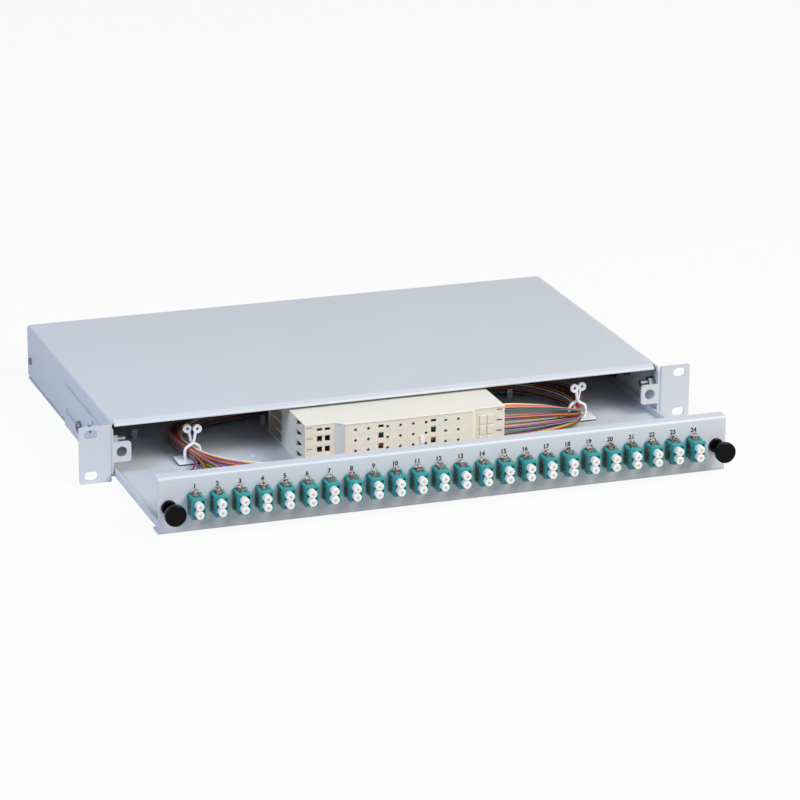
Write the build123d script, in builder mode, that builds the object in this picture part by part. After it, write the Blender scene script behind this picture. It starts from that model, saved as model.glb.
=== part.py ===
"""Sliding fibre patch drawer, one rack unit high, for a 19 inch rack.

A sheet steel housing with two rack ears holds a drawer on its side flanges. The drawer
carries a front panel with 24 duplex adapters, four stacked splice cassettes, two fibre
clips and the coloured pigtails. Two push plungers lock the panel to tabs of the housing.

Millimetres. X is to the right, Y goes back into the rack, Z is up. The origin is the
centre of the four rack slots, on the front face of the ears. The drawer stands open.
"""

import os
from math import atan2, cos, radians, sin, tan

from build123d import *

os.makedirs("parts", exist_ok=True)

# Rack pattern
rack_width = 482.6
slot_spacing = 465.1
slot_rise = 31.75
slot_length = 10.0
slot_width = 6.8

# Sheets and small clearances
ear_sheet = 1.5
cover_sheet = 1.5
base_sheet = 1.2
panel_sheet = 1.5
tray_sheet = 1.2
runner_gap = 0.2
seat_gap = 0.2
hole_gap = 0.1
overrun = 5.0

# Housing
body_width = 433.8
body_depth = 250.0
top_above_slots = 22.2
base_below_slots = 21.4
base_front = 10.0
lip_front = 4.2
lip_run = 5.0
lip_fall = 2.0
lip_drop = 3.5
lip_relief = 0.8
lip_bend_radius = 1.9
bend_radius = 2.6
wall_front = 1.0
wall_corner_drop = 4.2
wall_foot_relief = 3.0
runner_flange = 12.0
rear_flange = 14.0
rear_inset = 0.3

# Latch tabs, bent inwards from the side walls
tab_width = 15.0
tab_height = 15.4
tab_corner = 2.4
latch_hole = 8.0
latch_inset = 7.9

# Rack ears
ear_height = 43.6
ear_corner = 2.0
ear_bend = 2.0
leaf_length = 130.0
leaf_height = 32.6
leaf_lift = 0.8
leaf_slot_travel = 38.0

# Ear screws, M5, with washers and nuts inside the housing
ear_screw = 5.0
ear_screw_head = 9.0
ear_screw_head_height = 2.8
ear_screw_length = 14.0
ear_screw_recess = 1.4
ear_screw_recess_width = 1.0
ear_screw_recess_span = 5.0
washer_diameter = 10.0
washer_thickness = 1.0
nut_flats = 8.0
nut_height = 4.0
front_screw_back = 10.0
front_screw_rise = 6.7
rear_screw_back = 84.4
rear_screw_rise = -7.4

# Pins in the side walls that stop the drawer
stop_pin = 4.0
stop_pin_head = 6.0
stop_pin_head_height = 1.2
stop_pin_reach = 4.6
stop_pin_back = 55.0
stop_pin_rise = 0.8

# Screws that close the housing
side_screw = 3.0
side_screw_head = 5.6
side_screw_head_height = 1.6
side_screw_inset = 9.0
side_screw_rise = -4.8
base_screw = 3.0
base_screw_head = 5.4
base_screw_cone = 45
base_screw_rows = 3
base_screw_margin = 22.0

# Cable entries in the rear wall
entry_hole = 20.4
entry_outer = 185.0
entry_pitch = 36.0
entries_per_side = 2
gland_thread = 20.0
gland_bore = 12.0
gland_flats = 24.0
gland_collar = 6.0
gland_cap_length = 14.0
gland_cap_diameter = 22.0
gland_seal_wall = 2.6
gland_tail = 8.0
lock_nut_height = 4.0
plug_head = 25.0
plug_head_height = 2.4
plug_tail = 6.0
plug_wall = 2.0

# Drawer
drawer_out = 114.3
panel_closed_face = -6.5
panel_width = 433.0
panel_height = 42.0
panel_top_flange = 10.0
panel_bottom_flange = 13.9
panel_bend = 1.9
tray_width = 429.2
tray_rear = 118.0
tray_upstand = 5.8
stop_arm_inner = 194.0
stop_arm_outer = 203.4
stop_flag_outer = 213.6
stop_flag_low = -1.4
stop_flag_high = 3.2
lug_width = 4.0
lug_height = 7.0
lug_row = 75.0
lug_first = -179.0
lug_pitch = 100.7
lug_count = 4
lug_slot = 7.5

# Rivets that hold the tray to the panel, and the raised dimples of its floor
rivet_diameter = 3.2
rivet_head = 6.0
rivet_head_height = 0.9
rivet_count = 7
rivet_margin = 14.0
rivet_back = 8.0
dimple_diameter = 5.0
dimple_height = 0.8
dimple_row = 9.7
dimple_spread = 107.0

# Adapters
adapter_count = 24
adapter_pitch = 16.55
adapter_width = 9.3
adapter_height = 15.0
adapter_front = 13.0
adapter_back = 13.0
adapter_flange = 1.6
adapter_flange_side = 0.7
mouth_depth = 2.0
mouth_margin = 0.35
port_pitch = 6.25
port_size = 5.3
port_depth = 8.6
latch_channel = 1.5
latch_channel_height = 3.2
port_shift = 0.7

# Ceramic sleeves between the ports
sleeve_diameter = 2.5
sleeve_bore = 1.25
sleeve_end_gap = 0.5

# Sheet metal spring clips over the adapters
spring_sheet = 0.35
spring_width = 6.0
spring_forward = 8.5
spring_back = 7.0
spring_tongue = 5.0
spring_tongue_width = 4.4
spring_tongue_rise = 3.2
spring_knee = 2.0
spring_bend = 1.2
spring_bend_rise = 1.0
spring_bend_top = 1.35

# Dust caps
cap_diameter = 6.0
cap_head = 4.8
cap_stem = 4.4
cap_stem_length = 6.0
cap_bore = 1.8
cap_bore_depth = 2.5
cap_edge = 0.5

# Pigtail plugs behind the panel
plug_width = 4.6
plug_inside = 6.0
plug_outside = 4.5
latch_arm = 1.1
latch_arm_width = 2.4
boot_diameter = 4.4
boot_end = 2.2
boot_length = 15.0

# Plungers
grommet_flange = 11.0
grommet_flange_height = 2.2
grommet_barrel = 7.4
grommet_length = 9.5
grommet_slit = 1.0
plunger_stem = 4.0
plunger_gap = 0.08
knob_diameter = 15.7
knob_height = 4.4
knob_edge = 1.0
knob_face = 19.2
neck_diameter = 8.0
neck_length = 4.0
plunger_tip_inside = 1.5

# Splice cassettes
cassette_count = 4
cassette_left = -79.0
cassette_right = 76.4
cassette_front_left = -30.4
cassette_front = -36.8
cassette_front_right = -33.4
cassette_rear = 58.0
cassette_step_left = -55.5
cassette_step_right = -50.0
cassette_end_left = 50.0
cassette_end_right = 53.0
cassette_pitch = 8.25
cassette_floor = 1.2
cassette_wall = 1.6
cassette_lid = 0.9
lid_overhang = 0.3
fin_depth = 30.4
fin_inset = 2.0
exit_width = 11.0
exit_inset = 1.6
exit_lift = 1.6
window_width = 4.2
window_height = 4.6
top_window_height = 2.4
window_lift = 3.4
peep_hole = 2.4
peep_lift = 3.7
label_slit_width = 4.4
label_slit_height = 0.8
label_slit_lift = 6.6
notch_back = 22.0
notch_length = 16.2
notch_height = 5.2
guide_radius = 15.0
guide_wall = 1.5
guide_height = 5.0

# Hinge links at the right end of the cassettes
link_width = 4.8
link_height = 6.4
link_thickness = 1.6
link_seat = 0.8
link_first = 58.9
link_pitch = 6.1
links_per_seam = 2

# Splice combs and sleeves inside the cassettes
comb_length = 34.0
comb_base = 1.0
comb_rib = 0.8
comb_rib_height = 4.0
comb_rib_length = 6.0
splices_per_cassette = 12
splice_diameter = 2.4
splice_length = 40.0
splice_pitch = 3.4
splice_gap = 0.1

# Screws that hold the cassettes to the tray
cassette_screw = 3.0
cassette_screw_head = 5.5
cassette_screw_head_height = 1.3
cassette_screw_inset = 10.0

# Fibre clips
clip_left = -152.4
clip_right = 154.0
clip_row = 12.0
clip_base_width = 25.0
clip_base_depth = 16.0
clip_base_thickness = 1.2
clip_pad_thickness = 1.0
clip_base_corner = 1.2
clip_cord = 2.2
clip_foot = 5.0
clip_half_width = 6.2
clip_shoulder_rise = 5.0
clip_upper_half = 5.2
clip_upper_rise = 8.8
clip_cross_rise = 12.4
clip_neck_half = 1.3
clip_neck_rise = 16.0
clip_throat_half = 2.1
clip_ring_rise = 23.2
clip_ring_half = 3.5
clip_ring = 6.6
clip_ring_hole = 2.4
clip_ring_thickness = 2.0
clip_arm_shift = 1.2

# Pigtails: 12 from each cassette, in two rows of six
fibre_diameter = 0.9
fibre_columns = 6
fibre_rows = 2
fibre_level_pitch = 1.0
fibre_base_lift = 0.7
fibre_exit_lift = 4.2
fibre_exit_row = 1.9
bend_share = 0.45
fibre_direct_count = 7
fibre_peel_row = -52.0
fibre_peel_margin = 10.0
fibre_peel_end = -63.0
fibre_rise_end = -80.0
fibre_colours = {
    "pink": 0xE98A74,
    "aqua": 0x1C8C7C,
    "orange": 0xD77F2E,
    "brown": 0x7A4A2E,
    "violet": 0x7A5CA8,
    "grey": 0x8D9296,
    "red": 0xB8293B,
    "green": 0x1F8A4C,
    "yellow": 0xD9C23A,
    "black": 0x1B1C20,
    "white": 0xE9EAF2,
    "blue": 0x2D4FA8,
}

# Points of the outermost and the innermost pigtail from the cassettes to the left clip,
# with the share of the way down. The other pigtails run between these two.
outer_route = (
    (68.0, -29.0, 0),
    (84.0, -28.8, 0.03),
    (105.0, -25.8, 0.18),
    (127.0, -18.6, 0.42),
    (145.0, -8.0, 0.75),
    (155.2, 5.0, 1),
    (157.8, 19.0, 1),
    (167.5, 35.0, 1),
    (171.5, 52.0, 1),
    (166.0, 69.0, 1),
    (147.0, 84.0, 1),
    (110.0, 94.0, 1),
    (60.0, 99.0, 1),
    (0.0, 101.0, 1),
    (-60.0, 99.0, 1),
    (-110.0, 93.0, 1),
    (-142.0, 82.0, 1),
    (-157.5, 62.0, 1),
    (-159.8, 38.0, 1),
    (-153.0, 1.0, 1),
)
inner_route = (
    (68.0, -21.0, 0),
    (84.0, -20.8, 0.03),
    (102.0, -18.2, 0.18),
    (121.0, -12.4, 0.42),
    (138.0, -3.6, 0.75),
    (150.2, 7.0, 1),
    (152.6, 19.0, 1),
    (154.5, 33.0, 1),
    (149.5, 49.0, 1),
    (141.0, 64.0, 1),
    (127.0, 78.0, 1),
    (96.0, 87.0, 1),
    (52.0, 91.0, 1),
    (0.0, 92.5, 1),
    (-52.0, 91.0, 1),
    (-95.0, 86.5, 1),
    (-128.0, 76.0, 1),
    (-147.0, 58.0, 1),
    (-154.4, 36.0, 1),
    (-148.0, 2.0, 1),
)

# Points of both from the left clip to the stretch in front of the cassettes
outer_front_route = (
    (-146.0, -20.0),
    (-128.0, -39.5),
    (-100.0, -48.0),
)
inner_front_route = (
    (-136.0, -16.0),
    (-118.0, -32.0),
    (-94.0, -42.0),
)

# Where the first four pigtails leave the bundle
fan_route = (
    (-160.0, -15.0),
    (-156.5, -15.5),
    (-152.8, -15.5),
    (-149.2, -16.0),
)

# Worked out from the sizes above
half_body = body_width / 2
half_rack = rack_width / 2
half_ear = ear_height / 2
inner_half = half_body - cover_sheet
cover_top = top_above_slots
cover_inside = cover_top - cover_sheet
base_bottom = -base_below_slots
base_top = base_bottom + base_sheet
runner_top = base_top + cover_sheet
tray_bottom = runner_top + runner_gap
floor_top = tray_bottom + tray_sheet
half_tray = tray_width / 2
panel_bottom = tray_bottom - panel_sheet
panel_top = panel_bottom + panel_height
panel_mid = (panel_bottom + panel_top) / 2
panel_face = panel_closed_face - drawer_out
panel_back = panel_face + panel_sheet
half_panel = panel_width / 2
rear_outside = body_depth - rear_inset
rear_inside = rear_outside - base_sheet
latch_x = half_body - latch_inset
adapter_nose = panel_face - adapter_front
adapter_tail = panel_back + adapter_back
first_adapter = -(adapter_count - 1) * adapter_pitch / 2
adapter_places = [first_adapter + number * adapter_pitch for number in range(adapter_count)]
half_count = adapter_count // 2
port_heights = (panel_mid + port_pitch / 2, panel_mid - port_pitch / 2)
boot_tail = adapter_tail + plug_outside + boot_length
clip_floor = floor_top + clip_pad_thickness + clip_base_thickness
stack_top = floor_top + cassette_count * cassette_pitch


def finish(part, name, colour):
    """Label a piece, colour it and write its STEP file."""
    part.label = name
    part.color = Color(colour)
    export_step(part, f"parts/{name}.step")


def back_plane(place):
    """An upright plane at one place along Y, facing back, with X to the left."""
    return Plane(origin=(0, place, 0), x_dir=(1, 0, 0), z_dir=(0, -1, 0))


def side_plane(place):
    """An upright plane at one place along X, facing right, with Y to its right."""
    return Plane(origin=(place, 0, 0), x_dir=(0, 1, 0), z_dir=(1, 0, 0))


# Housing cover: top, side walls, front lip, runner flanges and latch tabs
cover_height = cover_top - base_top
wall_low = base_top + wall_foot_relief
wall_high = cover_top - wall_corner_drop
lip_half = half_body - bend_radius - lip_relief
lip_foot = cover_top - lip_drop
lip_slope = atan2(lip_fall, lip_run)
lip_inner_bend = lip_front + lip_run + cover_sheet * tan(lip_slope / 2)
lip_inner_corner = cover_top - lip_fall - cover_sheet * cos(lip_slope) / (1 + sin(lip_slope))
screw_places = ((front_screw_back, front_screw_rise), (rear_screw_back, rear_screw_rise))
side_screw_back = body_depth - side_screw_inset
base_screw_x = inner_half - runner_flange / 2
base_screw_first = base_front + base_screw_margin
base_screw_last = rear_inside - base_screw_margin
base_screw_step = (base_screw_last - base_screw_first) / (base_screw_rows - 1)
base_screw_places = [
    (side * base_screw_x, base_screw_first + row * base_screw_step)
    for side in (-1, 1)
    for row in range(base_screw_rows)
]

with BuildPart() as housing_cover:
    # Top and side walls as one bent sheet
    with BuildSketch(back_plane(base_front)):
        with Locations((0, (cover_top + base_top) / 2)):
            outer = Rectangle(body_width, cover_height)
        fillet(outer.vertices().group_by(Axis.Z)[-1], bend_radius)
        with Locations((0, base_top + (cover_height - cover_sheet) / 2)):
            Rectangle(2 * inner_half, cover_height - cover_sheet, mode=Mode.SUBTRACT)
    extrude(amount=-(body_depth - base_front))
    # Upper corners and walls in front of the runner flanges
    with BuildSketch(back_plane(lip_front)):
        with Locations((0, (cover_top + wall_low) / 2)):
            front_outer = Rectangle(body_width, cover_top - wall_low)
        fillet(front_outer.vertices().group_by(Axis.Z)[-1], bend_radius)
        with Locations((0, (cover_inside + wall_low) / 2)):
            Rectangle(2 * inner_half, cover_inside - wall_low, mode=Mode.SUBTRACT)
        with Locations((0, cover_top - cover_sheet / 2)):
            Rectangle(2 * (half_body - bend_radius), cover_sheet, mode=Mode.SUBTRACT)
    extrude(amount=-(base_front - lip_front))
    # The front edge of the top slopes down and ends in a short lip
    with BuildSketch(side_plane(-lip_half)):
        with BuildLine():
            FilletPolyline(
                (base_front, cover_top),
                (lip_front + lip_run, cover_top),
                (lip_front, cover_top - lip_fall),
                (lip_front, lip_foot),
                radius=lip_bend_radius,
            )
            Line((lip_front, lip_foot), (lip_front + cover_sheet, lip_foot))
            FilletPolyline(
                (lip_front + cover_sheet, lip_foot),
                (lip_front + cover_sheet, lip_inner_corner),
                (lip_inner_bend, cover_inside),
                (base_front, cover_inside),
                radius=lip_bend_radius - cover_sheet,
            )
            Line((base_front, cover_inside), (base_front, cover_top))
        make_face()
    extrude(amount=2 * lip_half)
    for side in (-1, 1):
        # Front end of the side wall, with its rounded upper corner
        with BuildSketch(side_plane(side * inner_half)):
            with Locations(((wall_front + lip_front) / 2, (wall_low + wall_high) / 2)):
                end_wall = Rectangle(lip_front - wall_front, wall_high - wall_low)
            fillet(end_wall.vertices().group_by(Axis.Y)[0].sort_by(Axis.Z)[-1], bend_radius)
        extrude(amount=side * cover_sheet)
        # Runner flange, bent inwards along the bottom of the wall
        runner_length = rear_inside - rear_flange - base_front
        with BuildSketch(Plane.XY.offset(base_top)):
            with Locations((side * (inner_half - runner_flange / 2), base_front + runner_length / 2)):
                Rectangle(runner_flange, runner_length)
        extrude(amount=cover_sheet)
        # Latch tab with its round hole
        tab_reach = tab_width - cover_sheet
        with BuildSketch(back_plane(wall_front)):
            with Locations((side * (inner_half - tab_reach / 2), 0)):
                tab = Rectangle(tab_reach, tab_height)
            tab_ends = tab.vertices().sort_by(Axis.X)
            fillet(tab_ends[-2:] if side < 0 else tab_ends[:2], tab_corner)
            with Locations((side * latch_x, 0)):
                Circle(latch_hole / 2, mode=Mode.SUBTRACT)
        extrude(amount=-cover_sheet)
        # Holes for the ear screws and the rear side screw
        with BuildSketch(side_plane(side * (half_body + overrun))):
            with Locations(*screw_places):
                Circle(ear_screw / 2 + hole_gap)
            with Locations((side_screw_back, side_screw_rise)):
                Circle(side_screw / 2 + hole_gap)
            with Locations((stop_pin_back, stop_pin_rise)):
                Circle(stop_pin / 2)
        extrude(amount=-side * (overrun + runner_flange), mode=Mode.SUBTRACT)
    # Holes in the runner flanges for the screws of the base
    with Locations(*[(place_x, place_y, runner_top) for place_x, place_y in base_screw_places]):
        Hole(base_screw / 2 + hole_gap, cover_sheet + overrun)
finish(housing_cover.part, "housing_cover", 0xC9CED3)

# Housing base: bottom plate, rear wall and its two side flanges
rear_top = cover_inside - seat_gap
rear_half = inner_half - seat_gap
flange_front = rear_outside - rear_flange
entry_places = [
    side * (entry_outer - step * entry_pitch)
    for side in (-1, 1)
    for step in range(entries_per_side)
]

with BuildPart() as housing_base:
    with BuildSketch(Plane.XY.offset(base_bottom)):
        with Locations((0, (base_front + rear_outside) / 2)):
            Rectangle(body_width, rear_outside - base_front)
    extrude(amount=base_sheet)
    with BuildSketch(back_plane(rear_inside)):
        with Locations((0, (rear_top + base_bottom) / 2)):
            Rectangle(2 * rear_half, rear_top - base_bottom)
    extrude(amount=-base_sheet)
    for side in (-1, 1):
        with BuildSketch(Plane.XY.offset(base_top)):
            with Locations((side * (rear_half - base_sheet / 2), flange_front + rear_flange / 2)):
                Rectangle(base_sheet, rear_flange)
        extrude(amount=rear_top - base_top)
        with BuildSketch(side_plane(side * (half_body + overrun))):
            with Locations((side_screw_back, side_screw_rise)):
                Circle(side_screw / 2 + hole_gap)
        extrude(amount=-side * (overrun + rear_flange), mode=Mode.SUBTRACT)
    with BuildSketch(back_plane(rear_inside)):
        with Locations(*[(place, 0) for place in entry_places]):
            Circle(entry_hole / 2)
    extrude(amount=-base_sheet, mode=Mode.SUBTRACT)
    with Locations(Plane.XY.rotated((180, 0, 0)).offset(base_below_slots)):
        with Locations(*[(place_x, -place_y) for place_x, place_y in base_screw_places]):
            CounterSinkHole(base_screw / 2 + hole_gap, base_screw_head / 2 + hole_gap, base_sheet)
finish(housing_base.part, "housing_base", 0xBFC4C9)

# Screws of the base, sunk flush and ending flush in the runner flanges
with BuildPart() as base_screws:
    for place_x, place_y in base_screw_places:
        with BuildSketch(Plane.XY.offset(base_bottom)):
            with Locations((place_x, place_y)):
                Circle(base_screw_head / 2)
        extrude(amount=base_sheet, taper=base_screw_cone)
        with BuildSketch(Plane.XY.offset(base_bottom)):
            with Locations((place_x, place_y)):
                Circle(base_screw / 2)
        extrude(amount=base_sheet + cover_sheet)
finish(base_screws.part, "base_screws", 0x9FA3A6)

# Rear side screws
with BuildPart() as side_screws:
    for side in (-1, 1):
        with BuildSketch(side_plane(side * half_body)):
            with Locations((side_screw_back, side_screw_rise)):
                Circle(side_screw_head / 2)
        extrude(amount=side * side_screw_head_height)
        fillet(side_screws.edges().group_by(Axis.X)[-1 if side > 0 else 0], side_screw_head_height / 2)
        with BuildSketch(side_plane(side * half_body)):
            with Locations((side_screw_back, side_screw_rise)):
                Circle(side_screw / 2)
        extrude(amount=-side * (cover_sheet + seat_gap + base_sheet + side_screw))
finish(side_screws.part, "side_screws", 0x9FA3A6)


def ear_bracket(side):
    """One rack ear: the face with its two slots, and the leaf along the side wall."""
    leaf_bottom = leaf_lift - half_ear
    with BuildPart() as bracket:
        # The leaf and the face as one bent sheet, seen from above
        with BuildSketch(Plane.XY.offset(leaf_bottom)):
            with BuildLine():
                Polyline(
                    (side * half_body, 0),
                    (side * half_rack, 0),
                    (side * half_rack, ear_sheet),
                    (side * (half_body + ear_sheet), ear_sheet),
                    (side * (half_body + ear_sheet), leaf_length),
                    (side * half_body, leaf_length),
                    close=True,
                )
            make_face()
        extrude(amount=leaf_height)
        # The face is taller than the leaf
        with BuildSketch(back_plane(0)):
            with Locations((side * (half_body + half_rack) / 2, 0)):
                Rectangle(half_rack - half_body, ear_height)
        extrude(amount=-ear_sheet)
        bend = bracket.edges().filter_by(Axis.Z).group_by(Axis.Y)[0]
        fillet(bend.sort_by(Axis.X)[0 if side > 0 else -1], ear_bend - hole_gap)
        corners = bracket.edges().filter_by(Axis.Y).group_by(Axis.X)[-1 if side > 0 else 0]
        fillet(corners, ear_corner)
        # Rack slots
        with BuildSketch(back_plane(-overrun)):
            with Locations(*[(side * slot_spacing / 2, end * slot_rise / 2) for end in (-1, 1)]):
                SlotOverall(slot_length, slot_width)
        extrude(amount=-(2 * overrun), mode=Mode.SUBTRACT)
        # Slots of the leaf, for setting the ears forwards or back
        with BuildSketch(side_plane(side * (half_body + 2 * ear_sheet))):
            for back, rise in screw_places:
                with Locations((back + leaf_slot_travel / 2, rise)):
                    SlotCenterToCenter(leaf_slot_travel, ear_screw + 2 * hole_gap)
            with Locations((stop_pin_back, stop_pin_rise)):
                Circle(stop_pin / 2)
        extrude(amount=-side * (2 * ear_sheet + cover_sheet / 2), mode=Mode.SUBTRACT)
    return bracket.part


finish(ear_bracket(-1), "ear_bracket_left", 0xC9CED3)
finish(ear_bracket(1), "ear_bracket_right", 0xC9CED3)

# Ear screws, with cross recesses
leaf_outside = half_body + ear_sheet
with BuildPart() as ear_screws:
    for side in (-1, 1):
        for back, rise in screw_places:
            with BuildSketch(side_plane(side * leaf_outside)):
                with Locations((back, rise)):
                    Circle(ear_screw_head / 2)
            extrude(amount=side * ear_screw_head_height)
        fillet(
            ear_screws.edges().group_by(Axis.X)[-1 if side > 0 else 0],
            ear_screw_head_height / 2,
        )
        for back, rise in screw_places:
            with BuildSketch(side_plane(side * leaf_outside)):
                with Locations((back, rise)):
                    Circle(ear_screw / 2)
            extrude(amount=-side * ear_screw_length)
            recess_floor = leaf_outside + ear_screw_head_height - ear_screw_recess
            with BuildSketch(side_plane(side * recess_floor)):
                with Locations((back, rise)):
                    Rectangle(ear_screw_recess_span, ear_screw_recess_width)
                    Rectangle(ear_screw_recess_width, ear_screw_recess_span)
            extrude(amount=side * overrun, mode=Mode.SUBTRACT)
finish(ear_screws.part, "ear_screws", 0x8F9499)

# Stop pins, riveted through the leaf and the wall
with BuildPart() as stop_pins:
    for side in (-1, 1):
        with BuildSketch(side_plane(side * leaf_outside)):
            with Locations((stop_pin_back, stop_pin_rise)):
                Circle(stop_pin_head / 2)
        extrude(amount=side * stop_pin_head_height)
        fillet(stop_pins.edges().group_by(Axis.X)[-1 if side > 0 else 0], stop_pin_head_height / 2)
        with BuildSketch(side_plane(side * leaf_outside)):
            with Locations((stop_pin_back, stop_pin_rise)):
                Circle(stop_pin / 2)
        extrude(amount=-side * (ear_sheet + cover_sheet + stop_pin_reach))
finish(stop_pins.part, "stop_pins", 0xA9ADB0)

# Washers and nuts on the inside of the walls
with BuildPart() as ear_washers:
    for side in (-1, 1):
        with BuildSketch(side_plane(side * inner_half)):
            with Locations(*screw_places):
                Circle(washer_diameter / 2)
                Circle(ear_screw / 2 + hole_gap, mode=Mode.SUBTRACT)
        extrude(amount=-side * washer_thickness)
finish(ear_washers.part, "ear_washers", 0xA9ADB0)

nut_seat = inner_half - washer_thickness
with BuildPart() as ear_nuts:
    for side in (-1, 1):
        with BuildSketch(side_plane(side * nut_seat)):
            with Locations(*screw_places):
                RegularPolygon(nut_flats / 2, 6, major_radius=False)
                Circle(ear_screw / 2 + hole_gap / 2, mode=Mode.SUBTRACT)
        extrude(amount=-side * nut_height)
finish(ear_nuts.part, "ear_nuts", 0xA9ADB0)

# Cable gland in the outer left entry: threaded body, lock nut, seal and cap
gland_x = entry_places[0]
with BuildPart() as gland_body:
    with BuildSketch(back_plane(rear_outside)):
        with Locations((gland_x, 0)):
            RegularPolygon(gland_flats / 2, 6, major_radius=False)
    extrude(amount=-gland_collar)
    with BuildSketch(back_plane(rear_outside - base_sheet - gland_tail)):
        with Locations((gland_x, 0)):
            Circle(gland_thread / 2)
    extrude(amount=-(gland_tail + base_sheet))
    with BuildSketch(back_plane(rear_outside - base_sheet - gland_tail)):
        with Locations((gland_x, 0)):
            Circle(gland_bore / 2)
    extrude(amount=-(gland_tail + base_sheet + gland_collar), mode=Mode.SUBTRACT)
finish(gland_body.part, "gland_body", 0x2B2D30)

with BuildPart() as gland_nut:
    with BuildSketch(back_plane(rear_inside - lock_nut_height)):
        with Locations((gland_x, 0)):
            RegularPolygon(gland_flats / 2, 6, major_radius=False)
            Circle(gland_thread / 2 + hole_gap, mode=Mode.SUBTRACT)
    extrude(amount=-lock_nut_height)
finish(gland_nut.part, "gland_nut", 0x2B2D30)

cap_seat = rear_outside + gland_collar
with BuildPart() as gland_seal:
    with BuildSketch(back_plane(cap_seat)):
        with Locations((gland_x, 0)):
            Circle(gland_bore / 2 + gland_seal_wall)
            Circle(gland_bore / 2, mode=Mode.SUBTRACT)
    extrude(amount=-(gland_cap_length - gland_seal_wall))
finish(gland_seal.part, "gland_seal", 0x202123)

with BuildPart() as gland_cap:
    with BuildSketch(back_plane(cap_seat)):
        with Locations((gland_x, 0)):
            Circle(gland_cap_diameter / 2)
            Circle(gland_bore / 2 + gland_seal_wall + hole_gap, mode=Mode.SUBTRACT)
    extrude(amount=-gland_cap_length)
    rim = gland_cap.edges().filter_by(GeomType.CIRCLE).group_by(Axis.Y)[-1].sort_by(SortBy.RADIUS)
    fillet(rim[-1], gland_seal_wall / 2)
finish(gland_cap.part, "gland_cap", 0x2B2D30)

# Blanking plugs in the other entries
with BuildPart() as blanking_plugs:
    for place in entry_places[1:]:
        with BuildSketch(back_plane(rear_outside)):
            with Locations((place, 0)):
                Circle(plug_head / 2)
        extrude(amount=-plug_head_height)
        with BuildSketch(back_plane(rear_inside - plug_tail)):
            with Locations((place, 0)):
                Circle(entry_hole / 2 - hole_gap)
                Circle(entry_hole / 2 - hole_gap - plug_wall, mode=Mode.SUBTRACT)
        extrude(amount=-(plug_tail + base_sheet))
finish(blanking_plugs.part, "blanking_plugs", 0x2B2D30)

# Drawer tray: floor, low upstands, stop flags and cable lugs
tray_front = panel_back + panel_bend - panel_sheet + seat_gap
tray_middle = (tray_front + tray_rear) / 2
tray_length = tray_rear - tray_front
lug_places = [lug_first + number * lug_pitch for number in range(lug_count)]
rivet_step = (panel_width - 2 * rivet_margin) / (rivet_count - 1)
rivet_places = [
    (number * rivet_step + rivet_margin - half_panel, panel_face + rivet_back)
    for number in range(rivet_count)
]
dimple_places = [(side * dimple_spread, dimple_row) for side in (-1, 1)]
cassette_screw_places = [
    (cassette_left + cassette_screw_inset, cassette_rear - cassette_screw_inset),
    (cassette_right - cassette_screw_inset, cassette_rear - cassette_screw_inset),
]

with BuildPart() as drawer_tray:
    with BuildSketch(Plane.XY.offset(tray_bottom)):
        with Locations((0, tray_middle)):
            Rectangle(tray_width, tray_length)
    extrude(amount=tray_sheet)
    for side in (-1, 1):
        with BuildSketch(Plane.XY.offset(tray_bottom)):
            with Locations((side * (half_tray - tray_sheet / 2), tray_middle)):
                Rectangle(tray_sheet, tray_length)
        extrude(amount=tray_upstand)
        # Stop flag, raised from the rear upstand and reaching out over the rear ear nut
        with BuildSketch(back_plane(tray_rear - tray_sheet)):
            with BuildLine():
                Polyline(
                    (side * stop_arm_inner, tray_bottom),
                    (side * stop_arm_outer, tray_bottom),
                    (side * stop_arm_outer, stop_flag_low),
                    (side * stop_flag_outer, stop_flag_low),
                    (side * stop_flag_outer, stop_flag_high),
                    (side * stop_arm_inner, stop_flag_high),
                    close=True,
                )
            make_face()
        extrude(amount=-tray_sheet)
    with BuildSketch(Plane.XY.offset(tray_bottom)):
        with Locations((0, tray_rear - tray_sheet / 2)):
            Rectangle(tray_width, tray_sheet)
    extrude(amount=tray_upstand)
    # Cable lugs, cut and bent up out of the floor
    with BuildSketch(Plane.XY.offset(tray_bottom)):
        with Locations(*[(place, lug_row + lug_slot / 2) for place in lug_places]):
            Rectangle(lug_width + tray_sheet, lug_slot)
    extrude(amount=tray_sheet, mode=Mode.SUBTRACT)
    with BuildSketch(Plane.XY.offset(tray_bottom)):
        with Locations(*[(place, lug_row) for place in lug_places]):
            Rectangle(lug_width, tray_sheet)
    extrude(amount=tray_sheet + lug_height)
    # Raised dimples of the floor
    with BuildSketch(Plane.XY.offset(floor_top)):
        with Locations(*dimple_places):
            Circle(dimple_diameter / 2)
    extrude(amount=dimple_height)
    fillet(
        drawer_tray.edges().filter_by(GeomType.CIRCLE).group_by(Axis.Z)[-1],
        dimple_height / 2,
    )
    # Holes for the rivets and for the cassette screws
    with Locations(*[(place_x, place_y, floor_top) for place_x, place_y in rivet_places]):
        Hole(rivet_diameter / 2 + hole_gap, tray_sheet + hole_gap)
    with Locations(*[(place_x, place_y, floor_top) for place_x, place_y in cassette_screw_places]):
        Hole(cassette_screw / 2 + hole_gap, tray_sheet + hole_gap)
finish(drawer_tray.part, "drawer_tray", 0xAEB2B5)

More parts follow.
